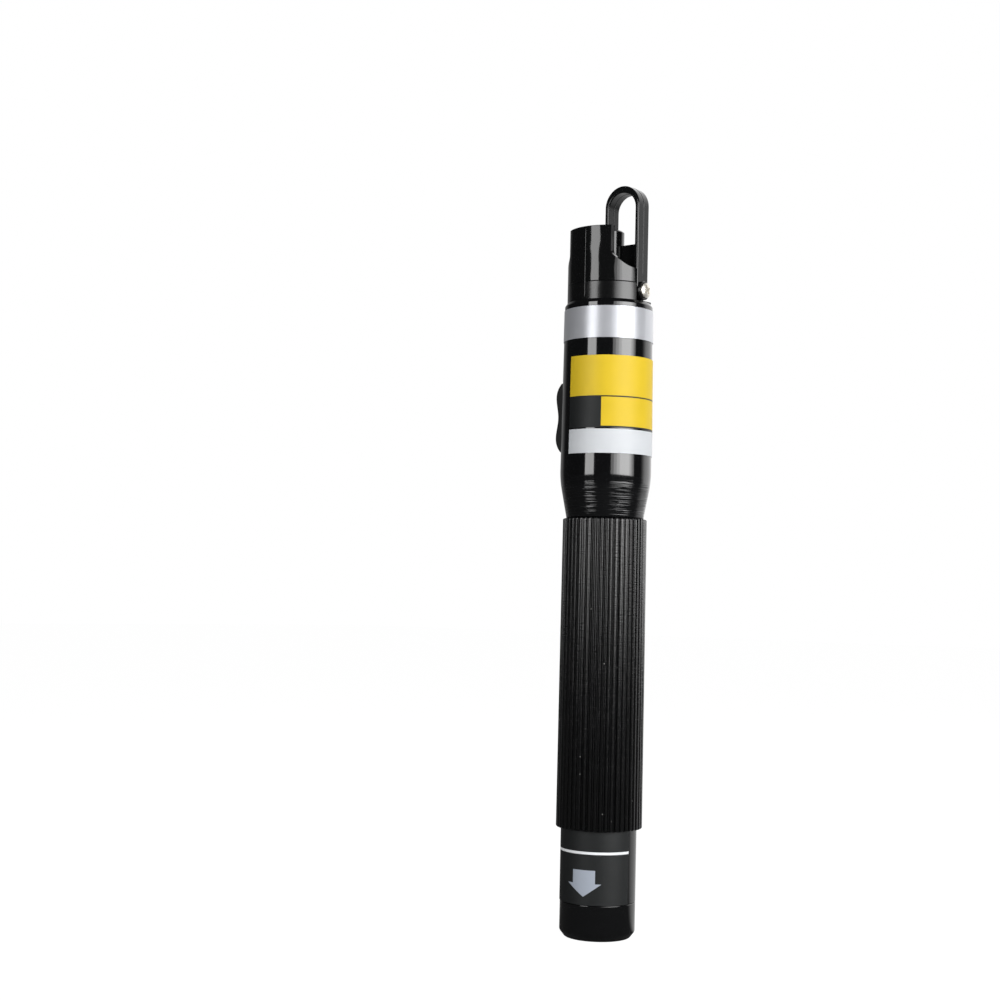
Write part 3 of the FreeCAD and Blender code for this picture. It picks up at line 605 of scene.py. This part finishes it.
def front_print_finish(name):
    """The front label, bare of print: a yellow field, and under it a black and a second yellow field."""
    finish = Finish(name, colours().label_black, 0.5, specular_ior_level=0.3)
    height, turn = finish.axis("Z"), finish.turn()
    low, high = FRONT_LABEL[0].z / MM, FRONT_LABEL[1].z / MM
    split = low + (high - low) * FIELD_SPLIT
    upper = height.rise(split - PRINT_EDGE / 2, split + PRINT_EDGE / 2)
    lower = height.between(low + FIELD_MARGIN, split - FIELD_GAP, PRINT_EDGE)
    finish.paint(upper, colours().yellow)
    finish.paint(lower * turn.rise(FIELD_TURN - 0.2, FIELD_TURN + 0.2), colours().yellow)
    film_texture(finish)
    return finish.material


def white_print_finish(name):
    """The white strip, bare of print."""
    finish = Finish(name, colours().white, 0.5, specular_ior_level=0.3)
    film_texture(finish)
    return finish.material


def tail_print_finish(name):
    """The dark tail label: a thin white line along it, and under that a block arrow towards the tail cap."""
    finish = Finish(name, colours().label_black, 0.5, specular_ior_level=0.4)
    height, turn = finish.axis("Z"), finish.turn()
    line = height.between(LINE_HEIGHT - LINE_HALF, LINE_HEIGHT + LINE_HALF, soft=0.1)
    finish.paint(line, (0.86, 0.88, 0.90))
    across = abs(turn - ARROW_TURN) * (math.radians(1) * TUBE_RADIUS / MM)
    beside = across.rise(SHAFT_HALF - 0.05, SHAFT_HALF + 0.05)
    shaft = (1 - beside) * height.between(ARROW_NECK - 0.1, ARROW_TOP, soft=0.08)
    edge = height - across * ((ARROW_NECK - ARROW_TIP) / ARROW_HALF)
    head = edge.rise(ARROW_TIP - 0.04, ARROW_TIP + 0.04) * (1 - height.rise(ARROW_NECK, ARROW_NECK + 0.06))
    finish.paint(shaft.math("MAXIMUM", head), colours().arrow)
    film_texture(finish)
    return finish.material


def metal_finish(name, colour, roughness, depth=0.004):
    """Bare machined or plated metal with fine tool marks."""
    finish = Finish(name, colour, roughness, metallic=1.0)
    marks = finish.noise(0.12, detail=3.0, stretch=(6, 6, 1))
    cloud = finish.noise(2.5, detail=3.0)
    finish.shade(0.08, cloud)
    finish.rough(roughness * 0.8 + cloud * roughness * 0.5)
    finish.relief(marks, depth)
    return finish.material


def plain_finish(name, colour, roughness):
    """A plain moulded, ceramic or coated surface with a fine grain."""
    finish = Finish(name, colour, roughness)
    cloud = finish.noise(2.0, detail=3.0)
    finish.shade(0.07, cloud)
    finish.rough(roughness * 0.85 + cloud * roughness * 0.3)
    finish.relief(finish.noise(0.2, detail=3.0), depth=0.006)
    return finish.material


def lens_finish(name):
    """Clear polished glass with a faint coating stain."""
    finish = Finish(name, (0.94, 0.96, 0.98), 0.03, ior=1.52, transmission_weight=0.9)
    finish.rough(0.02 + finish.noise(1.5) * 0.03)
    finish.relief(finish.noise(0.8, detail=1.0), depth=0.0006)
    return finish.material


# Each finish: the pieces that have it, its maker, and the colour, roughness and depths that the maker takes
FINISH_TABLE = {
    "black_anodised": (["barrel", "tail_cap"], anodised_finish),
    "grip_rubber": (["grip_sleeve"], rubber_finish),
    "knob": (["switch_knob"], moulded_finish, 0.42, 0.010),
    "collar_plastic": (["pivot_collar"], moulded_finish, 0.2, 0.002, 0.08),
    "guard_plastic": (["guard_hood"], moulded_finish, 0.08, 0.0006, 0.14),
    "cap_plastic": (["flip_cap"], moulded_finish, 0.16, 0.002),
    "screw_steel": (["pivot_screw"], metal_finish, (0.88, 0.85, 0.78), 0.42, 0.003),
    "silver_foil": (["silver_band"], foil_finish),
    "front_print": (["front_label"], front_print_finish),
    "white_print": (["white_strip"], white_print_finish),
    "tail_print": (["tail_label"], tail_print_finish),
    "seal_rubber": (["tail_seal", "cap_pad"], plain_finish, (0.014, 0.014, 0.014), 0.6),
    "brass": (["tail_contact", "positive_contact", "laser_block", "lens_ring"],
              metal_finish, (0.72, 0.50, 0.22), 0.3),
    "spring_steel": (["tail_spring"], metal_finish, (0.60, 0.60, 0.62), 0.3),
    "cell_can": (["rear_cell", "front_cell"], plain_finish, (0.05, 0.12, 0.30), 0.3),
    "insulator": (["contact_insulator"], plain_finish, (0.75, 0.73, 0.68), 0.45),
    "board": (["driver_board"], plain_finish, (0.01, 0.10, 0.035), 0.35),
    "switch_can": (["slide_switch"], metal_finish, (0.58, 0.58, 0.58), 0.3),
    "actuator": (["switch_actuator"], plain_finish, (0.01, 0.01, 0.01), 0.45),
    "diode_can": (["laser_diode"], metal_finish, (0.72, 0.60, 0.36), 0.25),
    "lens_glass": (["focus_lens"], lens_finish),
    "port_steel": (["port_tube"], metal_finish, (0.55, 0.55, 0.55), 0.25),
    "zirconia": (["ceramic_sleeve"], plain_finish, (0.86, 0.86, 0.83), 0.15),
}

FINISHES = {}               # the finishes made so far


def finish_named(name):
    """The finish of that name, made when it is first asked for."""
    if name not in FINISHES:
        _, make, *measures = FINISH_TABLE[name]
        FINISHES[name] = make(name, *measures)
    return FINISHES[name]


# ---------------- operators

class PEN_OT_finishes(bpy.types.Operator):
    """Gives every solid piece its finish"""

    bl_idname = "pen.finishes"
    bl_label = "Apply Finishes"

    def execute(self, context):
        """Puts each piece's finish in place of the plain material that it comes with."""
        for name, (nodes, *_) in FINISH_TABLE.items():
            for node in nodes:
                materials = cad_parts[node].data.materials
                materials.clear()
                materials.append(finish_named(name))
        return {"FINISHED"}


class PEN_OT_barrel(bpy.types.Operator):
    """Turns the barrel with its thread, cone and broken edges"""

    bl_idname = "pen.barrel"
    bl_label = "Turn Barrel"

    def execute(self, context):
        """Makes the barrel: one closed outline of radius and height turned round the pen's axis.

        It starts inside at the tube's foot, goes up the thread's crest, the tube, the cone and the head, and
        comes back down through the head's bore and the battery tube.
        """
        own = sizes()
        low, high = BARREL[0].z, BARREL[1].z
        shoulder, grip_top = TAIL_LABEL[0].z, GRIP[1].z
        head_radius, head_bore = BARREL[1].x, INSULATOR[1].x
        tube_bore = TUBE_RADIUS - TUBE_WALL
        crest = TUBE_RADIUS - THREAD_STEP
        tube = rounded_outline([(tube_bore, low), (crest, low), (crest, shoulder), (TUBE_RADIUS, shoulder),
                                (TUBE_RADIUS, grip_top), (TUBE_RADIUS + CONE_STEP, grip_top)], own.edge_round)
        crown = rounded_outline([(head_radius - HEAD_TAPER, high - HEAD_CHAMFER), (COLLAR_RADIUS, high),
                                 (head_bore, high), (head_bore, INSULATOR[0].z), (tube_bore, INSULATOR[0].z)],
                                own.edge_round)
        foot, end = low + THREAD_INSET, shoulder - THREAD_INSET
        rows = max(3, round((end - foot) / own.thread_pitch * THREAD_ROWS))
        tube = with_wall(tube, 2 * ROUND_POINTS, crest, np.linspace(foot, end, rows))
        outline = np.concatenate([tube, cone_outline(grip_top, head_radius), crown])
        points = turned(outline[:, :1], outline[:, 1:], full_turn(BARREL_SEGMENTS))
        points = cut_thread(points, foot, end, own.thread_pitch, -own.thread_depth)
        faces = grid_faces(*points.shape[:2])[:, ::-1]
        piece = add_piece("barrel_body", points.reshape(-1, 3), [faces], "black_anodised", "pen", ["barrel"])
        cut_switch_slot(piece)
        return {"FINISHED"}


def cone_outline(foot_height, head_radius):
    """The cone's straight flank, the round stretch at its top and the head's side, as radius and height rows.

    The flank leans by the angle whose tangent is its gain in radius over its height less half the round
    stretch. The round stretch is an arc that turns by that angle and ends upright. The head's side then gets
    thinner evenly up to its chamfer.
    """
    foot = TUBE_RADIUS + CONE_STEP
    top = foot_height + CONE_HEIGHT
    lean = math.atan((head_radius - foot) / (CONE_HEIGHT - CONE_ROUND / 2))
    curve = CONE_ROUND / math.sin(lean)
    angle = np.linspace(-lean, 0, ARC_ROWS)
    arc = np.stack([head_radius - curve + curve * np.cos(angle), top + curve * np.sin(angle)], axis=1)
    share = np.linspace(0.06, 0.97, FLANK_ROWS)[:, None]
    flank = np.array([foot, foot_height]) * (1 - share) + arc[0] * share
    share = np.array([0.02, 0.5])[:, None]
    side = np.array([head_radius, top]) + share * [-HEAD_TAPER, BARREL[1].z - HEAD_CHAMFER - top]
    return np.concatenate([flank, arc, side])


def cut_switch_slot(piece):
    """Cuts the slot that the switch's slider moves in through the barrel's wall, with a block."""
    reach = (BARREL[0].x - SLOT_OUTSIDE, BARREL[0].x + SLOT_INSIDE)
    width = (-SLOT_HALF, SLOT_HALF)
    height = (ACTUATOR[0].z - SLOT_PLAY, ACTUATOR[1].z + SWITCH_TRAVEL + SLOT_PLAY)
    corners = [(x, y, z) for x in reach for y in width for z in height]
    faces = [(0, 1, 3, 2), (4, 6, 7, 5), (0, 4, 5, 1), (2, 3, 7, 6), (0, 2, 6, 4), (1, 5, 7, 3)]
    mesh = bpy.data.meshes.new("slot_cutter")
    mesh.from_pydata(corners, [], faces)
    cutter = add_object("slot_cutter", mesh)
    cut = piece.modifiers.new("slot", "BOOLEAN")
    cut.object, cut.operation, cut.solver = cutter, "DIFFERENCE", "EXACT"
    bpy.context.view_layer.update()
    cut_mesh = bpy.data.meshes.new_from_object(piece.evaluated_get(bpy.context.evaluated_depsgraph_get()))
    piece.modifiers.clear()
    piece.data = cut_mesh
    cut_mesh.name = piece.name
    bpy.data.objects.remove(cutter)


class PEN_OT_tail_cap(bpy.types.Operator):
    """Turns the tail cap with its inner thread and broken edges"""

    bl_idname = "pen.tail_cap"
    bl_label = "Turn Tail Cap"

    def execute(self, context):
        """Makes the tail cap: an outline of radius and height turned round the pen's axis.

        It runs from the foot's middle out, up the wall, over the rim, down the thread and in along the floor.
        A fan of triangles closes it at each end.
        """
        own = sizes()
        rim, bore = TAIL_CAP[1].z, TUBE_RADIUS - CAP_WALL
        bevel, bevel_height = CAP_CHAMFER
        corners = [(CAP_AXIS_RING, 0), (TUBE_RADIUS - bevel, 0), (TUBE_RADIUS, bevel_height),
                   (TUBE_RADIUS, rim), (bore, rim), (bore, CAP_FLOOR), (CAP_AXIS_RING, CAP_FLOOR)]
        outline = rounded_outline(corners, CAP_ROUND * own.edge_round)
        outline = outline[ROUND_POINTS - 1:1 - ROUND_POINTS]    # one point is left of each corner on the axis
        top, foot = rim - CAP_THREAD_TOP, CAP_FLOOR + CAP_THREAD_FOOT
        outline = with_wall(outline, 1 + 4 * ROUND_POINTS, bore, np.linspace(top, foot, CAP_THREAD_ROWS))
        points = turned(outline[:, :1], outline[:, 1:], full_turn(CAP_SEGMENTS))
        points = cut_thread(points, foot, top, own.thread_pitch, CAP_THREAD_SHARE * own.thread_depth)
        rows = len(points)
        poles = [[0, 0, 0], [0, 0, CAP_FLOOR]]
        first = np.arange(CAP_SEGMENTS)
        last = first + (rows - 1) * CAP_SEGMENTS
        pole = rows * CAP_SEGMENTS
        faces = [grid_faces(rows, CAP_SEGMENTS, close_rows=False), fan_faces(first[::-1], pole),
                 fan_faces(last, pole + 1)]
        points = np.concatenate([points.reshape(-1, 3), poles])
        add_piece("tail_cap_cup", points, faces, "black_anodised", "tail_cap", ["tail_cap"])
        return {"FINISHED"}


class PEN_OT_grip(bpy.types.Operator):
    """Moulds the rubber grip with its ribs and rounded ends"""

    bl_idname = "pen.grip"
    bl_label = "Mould Grip"

    def execute(self, context):
        """Makes the ribbed sleeve on a grid of height and angle.

        The outer radius falls evenly from foot to top and rolls off at both ends along a quarter of a circle.
        The relief of the ribs is added to it, and a plain bore closes the form.
        """
        low, high = GRIP[0].z, GRIP[1].z
        radius = GRIP[1].x
        angle = full_turn(sizes().rib_count * RIB_SEGMENTS)
        corner = np.linspace(0, np.pi / 2, ROLL_ROWS)
        rise, drop = GRIP_ROLL * (1 - np.cos(corner)), GRIP_ROLL * (1 - np.sin(corner))
        wall = np.linspace(low + 2 * GRIP_ROLL, high - 2 * GRIP_ROLL, WALL_ROWS)
        heights = np.concatenate([low + rise, wall, high - rise[::-1]])
        drops = np.concatenate([drop, np.zeros(WALL_ROWS), drop[::-1]])
        share = (heights - low) / (high - low)
        outer = (radius - GRIP_TAPER * share - drops)[:, None] + rib_relief(angle, share[:, None], radius)
        bore = np.full((1, len(angle)), TUBE_RADIUS)
        heights = np.concatenate([[low], heights, [high]])[:, None]
        points = turned(np.concatenate([bore, outer, bore]), heights, angle)
        faces = grid_faces(*points.shape[:2])
        add_piece("grip_rubber", points.reshape(-1, 3), [faces], "grip_rubber", "pen", ["grip_sleeve"])
        return {"FINISHED"}


def rib_relief(angle, share, radius):
    """How far the ribbed wall stands out from its plain radius, at an angle and a share of the height.

    The ribs are counted round the pen, from angles that wander by a slow wave of the angle and the height.
    The middle of a rib is at a whole number and the middle of a groove half-way between. A groove is a
    smooth step down on either side of a flat floor. A rib's crown is a low sine wave with its own sideways
    slope, which comes from the sine of its number squared.
    """
    own = sizes()
    wander = RIB_WANDER * np.sin(WANDER_RISE * share + WANDER_SWING * np.sin(2 * angle))
    turns = (angle + wander) * own.rib_count / (2 * np.pi)
    phase = turns % 1.0
    pitch = 2 * np.pi * radius / own.rib_count
    reach = own.groove_half / pitch
    step = np.clip((reach - np.abs(phase - 0.5)) / (FLANK_SHARE * reach), 0, 1)
    groove = own.groove_depth * step * step * (3 - 2 * step)
    lean = RIB_LEAN * np.sin(LEAN_STEP * np.floor(turns) ** 2)
    slope = lean * np.where(phase > 0.5, phase - 1, phase) * pitch
    return slope - RIB_CROWN * np.sin(np.pi * phase) ** 2 - groove


class PEN_OT_mould_lines(bpy.types.Operator):
    """Adds the mould lines of the hood, the collar and the flip cap's strap"""

    bl_idname = "pen.mould_lines"
    bl_label = "Add Mould Lines"

    def execute(self, context):
        """Carries one bead up the front of collar and hood, and one along each face of the strap."""
        heights = np.linspace(BARREL[1].z + HOOD_LINE_FOOT, HOOD[1].z - HOOD_LINE_TOP, HOOD_ROWS)
        outward = np.tile([0, -1.0, 0], (HOOD_ROWS, 1))
        line = upright(0, -COLLAR_RADIUS, heights)
        bead("hood_mould_line", line, outward, (1, 0, 0), "guard_plastic", "pen")
        for face, (inset, foot) in STRAP_LINES.items():
            line, outward = strap_line(inset, PIVOT_Z + foot)
            bead(f"strap_{face}_mould_line", line, outward, (0, 1, 0), "cap_plastic", "flip_cap")
        return {"FINISHED"}


def upright(x, y, heights):
    """A line of points one above the other."""
    return np.stack([np.full_like(heights, x), np.full_like(heights, y), heights], axis=1)


def strap_line(inset, foot):
    """The middle line of the strap's outer face (inset 0) or inner face, with its outward directions.

    It climbs the leg, follows a half circle over the top and comes down the stem. A point of the half circle
    is its centre plus the radius times the cosine along X and the sine along Z.
    """
    leg, stem = FLIP_CAP[1].x - EAR_HEIGHT - inset, STEM_OUTER + inset
    radius, middle = (leg - stem) / 2, (leg + stem) / 2
    centre = FLIP_CAP[1].z - (STRAP_CROWN if inset else 0) - radius
    angle = np.linspace(0, np.pi, ARCH_ROWS)
    spokes = np.stack([np.cos(angle), 0 * angle, np.sin(angle)], axis=1)
    up = upright(leg, 0, np.linspace(foot, centre, LEG_ROWS, endpoint=False))
    down = upright(stem, 0, np.linspace(centre, FLIP_CAP[1].z - STEM_LINE_END, STEM_ROWS + 1)[1:])
    line = np.concatenate([up, [middle, 0, centre] + radius * spokes, down])
    right, left = np.tile([1.0, 0, 0], (LEG_ROWS, 1)), np.tile([-1.0, 0, 0], (STEM_ROWS, 1))
    outward = np.concatenate([right, spokes, left])
    return line, -outward if inset else outward


def bead(name, line, outward, across, slot, body):
    """A fine raised bead along a line.

    Its section is a low half wave above the surface and a flat foot just inside it. Every point is the
    line's point plus a share of the width across and a share of the height outward. Both ends taper.
    """
    own = sizes()
    foot_width, foot_depth = BEAD_FOOT
    turn = np.linspace(0, np.pi, BEAD_STEPS)
    side = np.concatenate([-np.cos(turn), [foot_width, -foot_width]]) * own.seam_width / 2
    lift = np.concatenate([np.sin(turn), [-foot_depth, -foot_depth]]) * own.seam_height
    rows, columns = len(line), len(side)
    row = np.arange(rows)
    taper = np.clip(np.minimum(row, row[::-1]) / BEAD_TAPER, BEAD_TIP, 1)[:, None, None]
    points = line[:, None] + taper * (side[:, None] * np.array(across) + lift[:, None] * outward[:, None])
    ring = np.arange(columns)
    faces = [grid_faces(rows, columns, close_rows=False), ring[None], (rows - 1) * columns + ring[None, ::-1]]
    face_outwards(add_piece(name, points.reshape(-1, 3), faces, slot, body))


def face_outwards(piece):
    """Turns every face of a closed piece round if its signed volume is negative.

    The volume is a sixth of the sum, over all triangles, of one corner times the cross product of the others.
    """
    mesh = piece.data
    mesh.calc_loop_triangles()
    corners = np.empty(len(mesh.loop_triangles) * 3, np.int32)
    mesh.loop_triangles.foreach_get("vertices", corners)
    places = np.empty(len(mesh.vertices) * 3, np.float32)
    mesh.vertices.foreach_get("co", places)
    a, b, c = places.reshape(-1, 3).astype(float)[corners.reshape(-1, 3).T]
    if np.einsum("ij,ij->i", a, np.cross(b, c)).sum() < 0:
        mesh.flip_normals()


class PEN_OT_studio(bpy.types.Operator):
    """Sets up the floor, the softboxes, the room and the camera"""

    bl_idname = "pen.studio"
    bl_label = "Set Up Studio"

    def execute(self, context):
        """Places everything round the pen by its angle from the camera."""
        studio = context.scene.pen_studio
        add_floor(studio)
        for ring, span in enumerate(RIGHT_SPANS):
            turn = RIGHT_TURN + RIGHT_SPREAD * ring
            foot = SOFTBOX_FOOT + RIGHT_LIFT * ring
            share = studio.key_light / len(RIGHT_SPANS)
            add_softbox(f"right_softbox_{ring}", studio.azimuth, turn, span, (foot, RIGHT_TOP), share)
        ends = (SOFTBOX_FOOT, LEFT_TOP)
        add_softbox("left_softbox", studio.azimuth, LEFT_TURN, LEFT_SPAN, ends, studio.side_light)
        add_room(studio)
        add_camera(studio)
        context.scene.view_settings.view_transform = "Standard"
        return {"FINISHED"}


def compass(azimuth):
    """The level direction from the pen at that azimuth: 0 is the front, and 90 degrees is +X."""
    return Vector((math.sin(azimuth), -math.cos(azimuth), 0))


def add_floor(studio):
    """A wide pale floor that shows white, keeps the pen's soft shadow and is dim in the pen's reflections."""
    half = FLOOR_HALF
    corners = [(-half, -half, 0), (half, -half, 0), (half, half, 0), (-half, half, 0)]
    mesh = bpy.data.meshes.new("floor")
    mesh.from_pydata(corners, [], [(0, 1, 2, 3)])
    add_object("floor", mesh)
    finish = Finish("floor_paper", (0.80, 0.80, 0.80), 0.9)
    finish.relief(finish.noise(3.0), depth=0.02)
    seen, mirrored = finish.ray_kinds()
    direction = finish.vector("NORMALIZE", {0: finish.place})
    reflected = brightness_behind(finish, direction, studio) * FLOOR_SHARE + FLOOR_DIM
    glow = finish.node("ShaderNodeEmission", inputs={"Strength": seen * FLOOR_GLOW + mirrored * reflected})
    paper = Value(finish, finish.shader.outputs[0])
    share = seen * GLOW_SEEN + mirrored * GLOW_MIRRORED
    mixed = finish.node("ShaderNodeMixShader", inputs={0: share, 1: paper, 2: glow})
    finish.feed(finish.tree.nodes["Material Output"].inputs["Surface"], mixed)
    mesh.materials.append(finish.material)


def add_softbox(name, front, turn, span, ends, brightness):
    """An upright softbox that faces the pen.

    It stands turned from the camera's azimuth and spans an angle, both in degrees. Its power is its
    brightness times its area times pi.
    """
    low, high = ends
    wide, tall = 2 * SOFTBOX_DISTANCE * math.tan(math.radians(span) / 2), high - low
    away = compass(front + math.radians(turn))
    light = bpy.data.lights.new(name, "AREA")
    light.shape, light.size, light.size_y = "RECTANGLE", wide, tall
    light.energy = brightness * math.pi * wide * tall
    lamp = add_object(name, light)
    lamp.location = away * SOFTBOX_DISTANCE + Vector((0, 0, (low + high) / 2))
    lamp.rotation_euler = away.to_track_quat("Z", "Y").to_euler()


def add_room(studio):
    """The room: white where the camera looks past the pen, and bright behind the pen in reflections."""
    world = bpy.data.worlds.new("room")
    bpy.context.scene.world = world
    world.use_nodes = True
    room = Nodes(world.node_tree)
    direction = room.node("ShaderNodeTexCoord", output="Generated")
    seen, mirrored = room.ray_kinds()
    reflected = brightness_behind(room, direction, studio) + ROOM_DIM
    other = (1 - mirrored) * studio.fill + mirrored * reflected
    background = world.node_tree.nodes["Background"]
    room.feed(background.inputs["Color"], (1, 1, 1, 1))
    room.feed(background.inputs["Strength"], seen + (1 - seen) * other)


def brightness_behind(nodes, direction, studio):
    """How bright a direction is in reflections: nothing in front of the pen, and the background behind it."""
    def towards(turn):
        """How far the direction points towards an angle from the camera: 1 along it, -1 away from it."""
        axis = tuple(compass(studio.azimuth + math.radians(turn)))
        return nodes.vector("DOT_PRODUCT", {0: direction, 1: axis}, output="Value")

    right = towards(SIDE_TURN).rise(*SIDE_EDGE)
    level = right * (studio.back_right - studio.back_left) + studio.back_left
    return towards(BACK_TURN).rise(*BACK_EDGE) * level


def add_camera(studio):
    """The camera, aimed at the picture's centre and rolled about its line of sight."""
    away = compass(studio.azimuth)
    right = Vector((math.cos(studio.azimuth), math.sin(studio.azimuth), 0))
    stand = away * studio.distance + Vector((0, 0, studio.height))
    aim = Vector((0, 0, studio.aim_height)) - right * studio.aim_left
    turn = (aim - stand).to_track_quat("-Z", "Y").to_matrix() @ Matrix.Rotation(studio.roll, 3, "Z")
    data = bpy.data.cameras.new("camera")
    data.lens, data.sensor_width, data.shift_y = studio.lens, SENSOR_WIDTH, studio.shift
    camera = add_object("camera", data)
    camera.matrix_world = Matrix.Translation(stand) @ turn.to_4x4()
    bpy.context.scene.camera = camera


# ---------------- panel and registration

class PEN_PT_panel(bpy.types.Panel):
    """Lists the pen's pieces, sizes and colours"""

    bl_label = "Fault Locator Pen"
    bl_space_type = "VIEW_3D"
    bl_region_type = "UI"
    bl_category = "Fault Locator"

    def draw(self, context):
        """Draws a button for each operator and a field for each setting."""
        for operator in OPERATORS:
            self.layout.operator(operator.bl_idname)
        for group in SETTINGS:
            settings = getattr(context.scene, group)
            for name in settings.bl_rna.properties.keys():
                if name not in ("rna_type", "name"):
                    self.layout.prop(settings, name)


OPERATORS = (PEN_OT_finishes, PEN_OT_barrel, PEN_OT_tail_cap, PEN_OT_grip, PEN_OT_mould_lines, PEN_OT_studio)
SETTINGS = {"pen_sizes": PenSizes, "pen_colours": PenColours, "pen_studio": PenStudio}
CLASSES = (*SETTINGS.values(), *OPERATORS, PEN_PT_panel)


def register():
    """Adds the classes, and the settings to the scene."""
    for cls in CLASSES:
        bpy.utils.register_class(cls)
    for name, group in SETTINGS.items():
        setattr(bpy.types.Scene, name, PointerProperty(type=group))


def unregister():
    """Takes the settings and the classes away again."""
    for name in SETTINGS:
        delattr(bpy.types.Scene, name)
    for cls in reversed(CLASSES):
        bpy.utils.unregister_class(cls)


def main():
    """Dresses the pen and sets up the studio."""
    register()
    bpy.ops.pen.finishes()
    bpy.ops.pen.barrel()
    bpy.ops.pen.tail_cap()
    bpy.ops.pen.grip()
    bpy.ops.pen.mould_lines()
    bpy.ops.pen.studio()


if __name__ == "__main__":
    main()
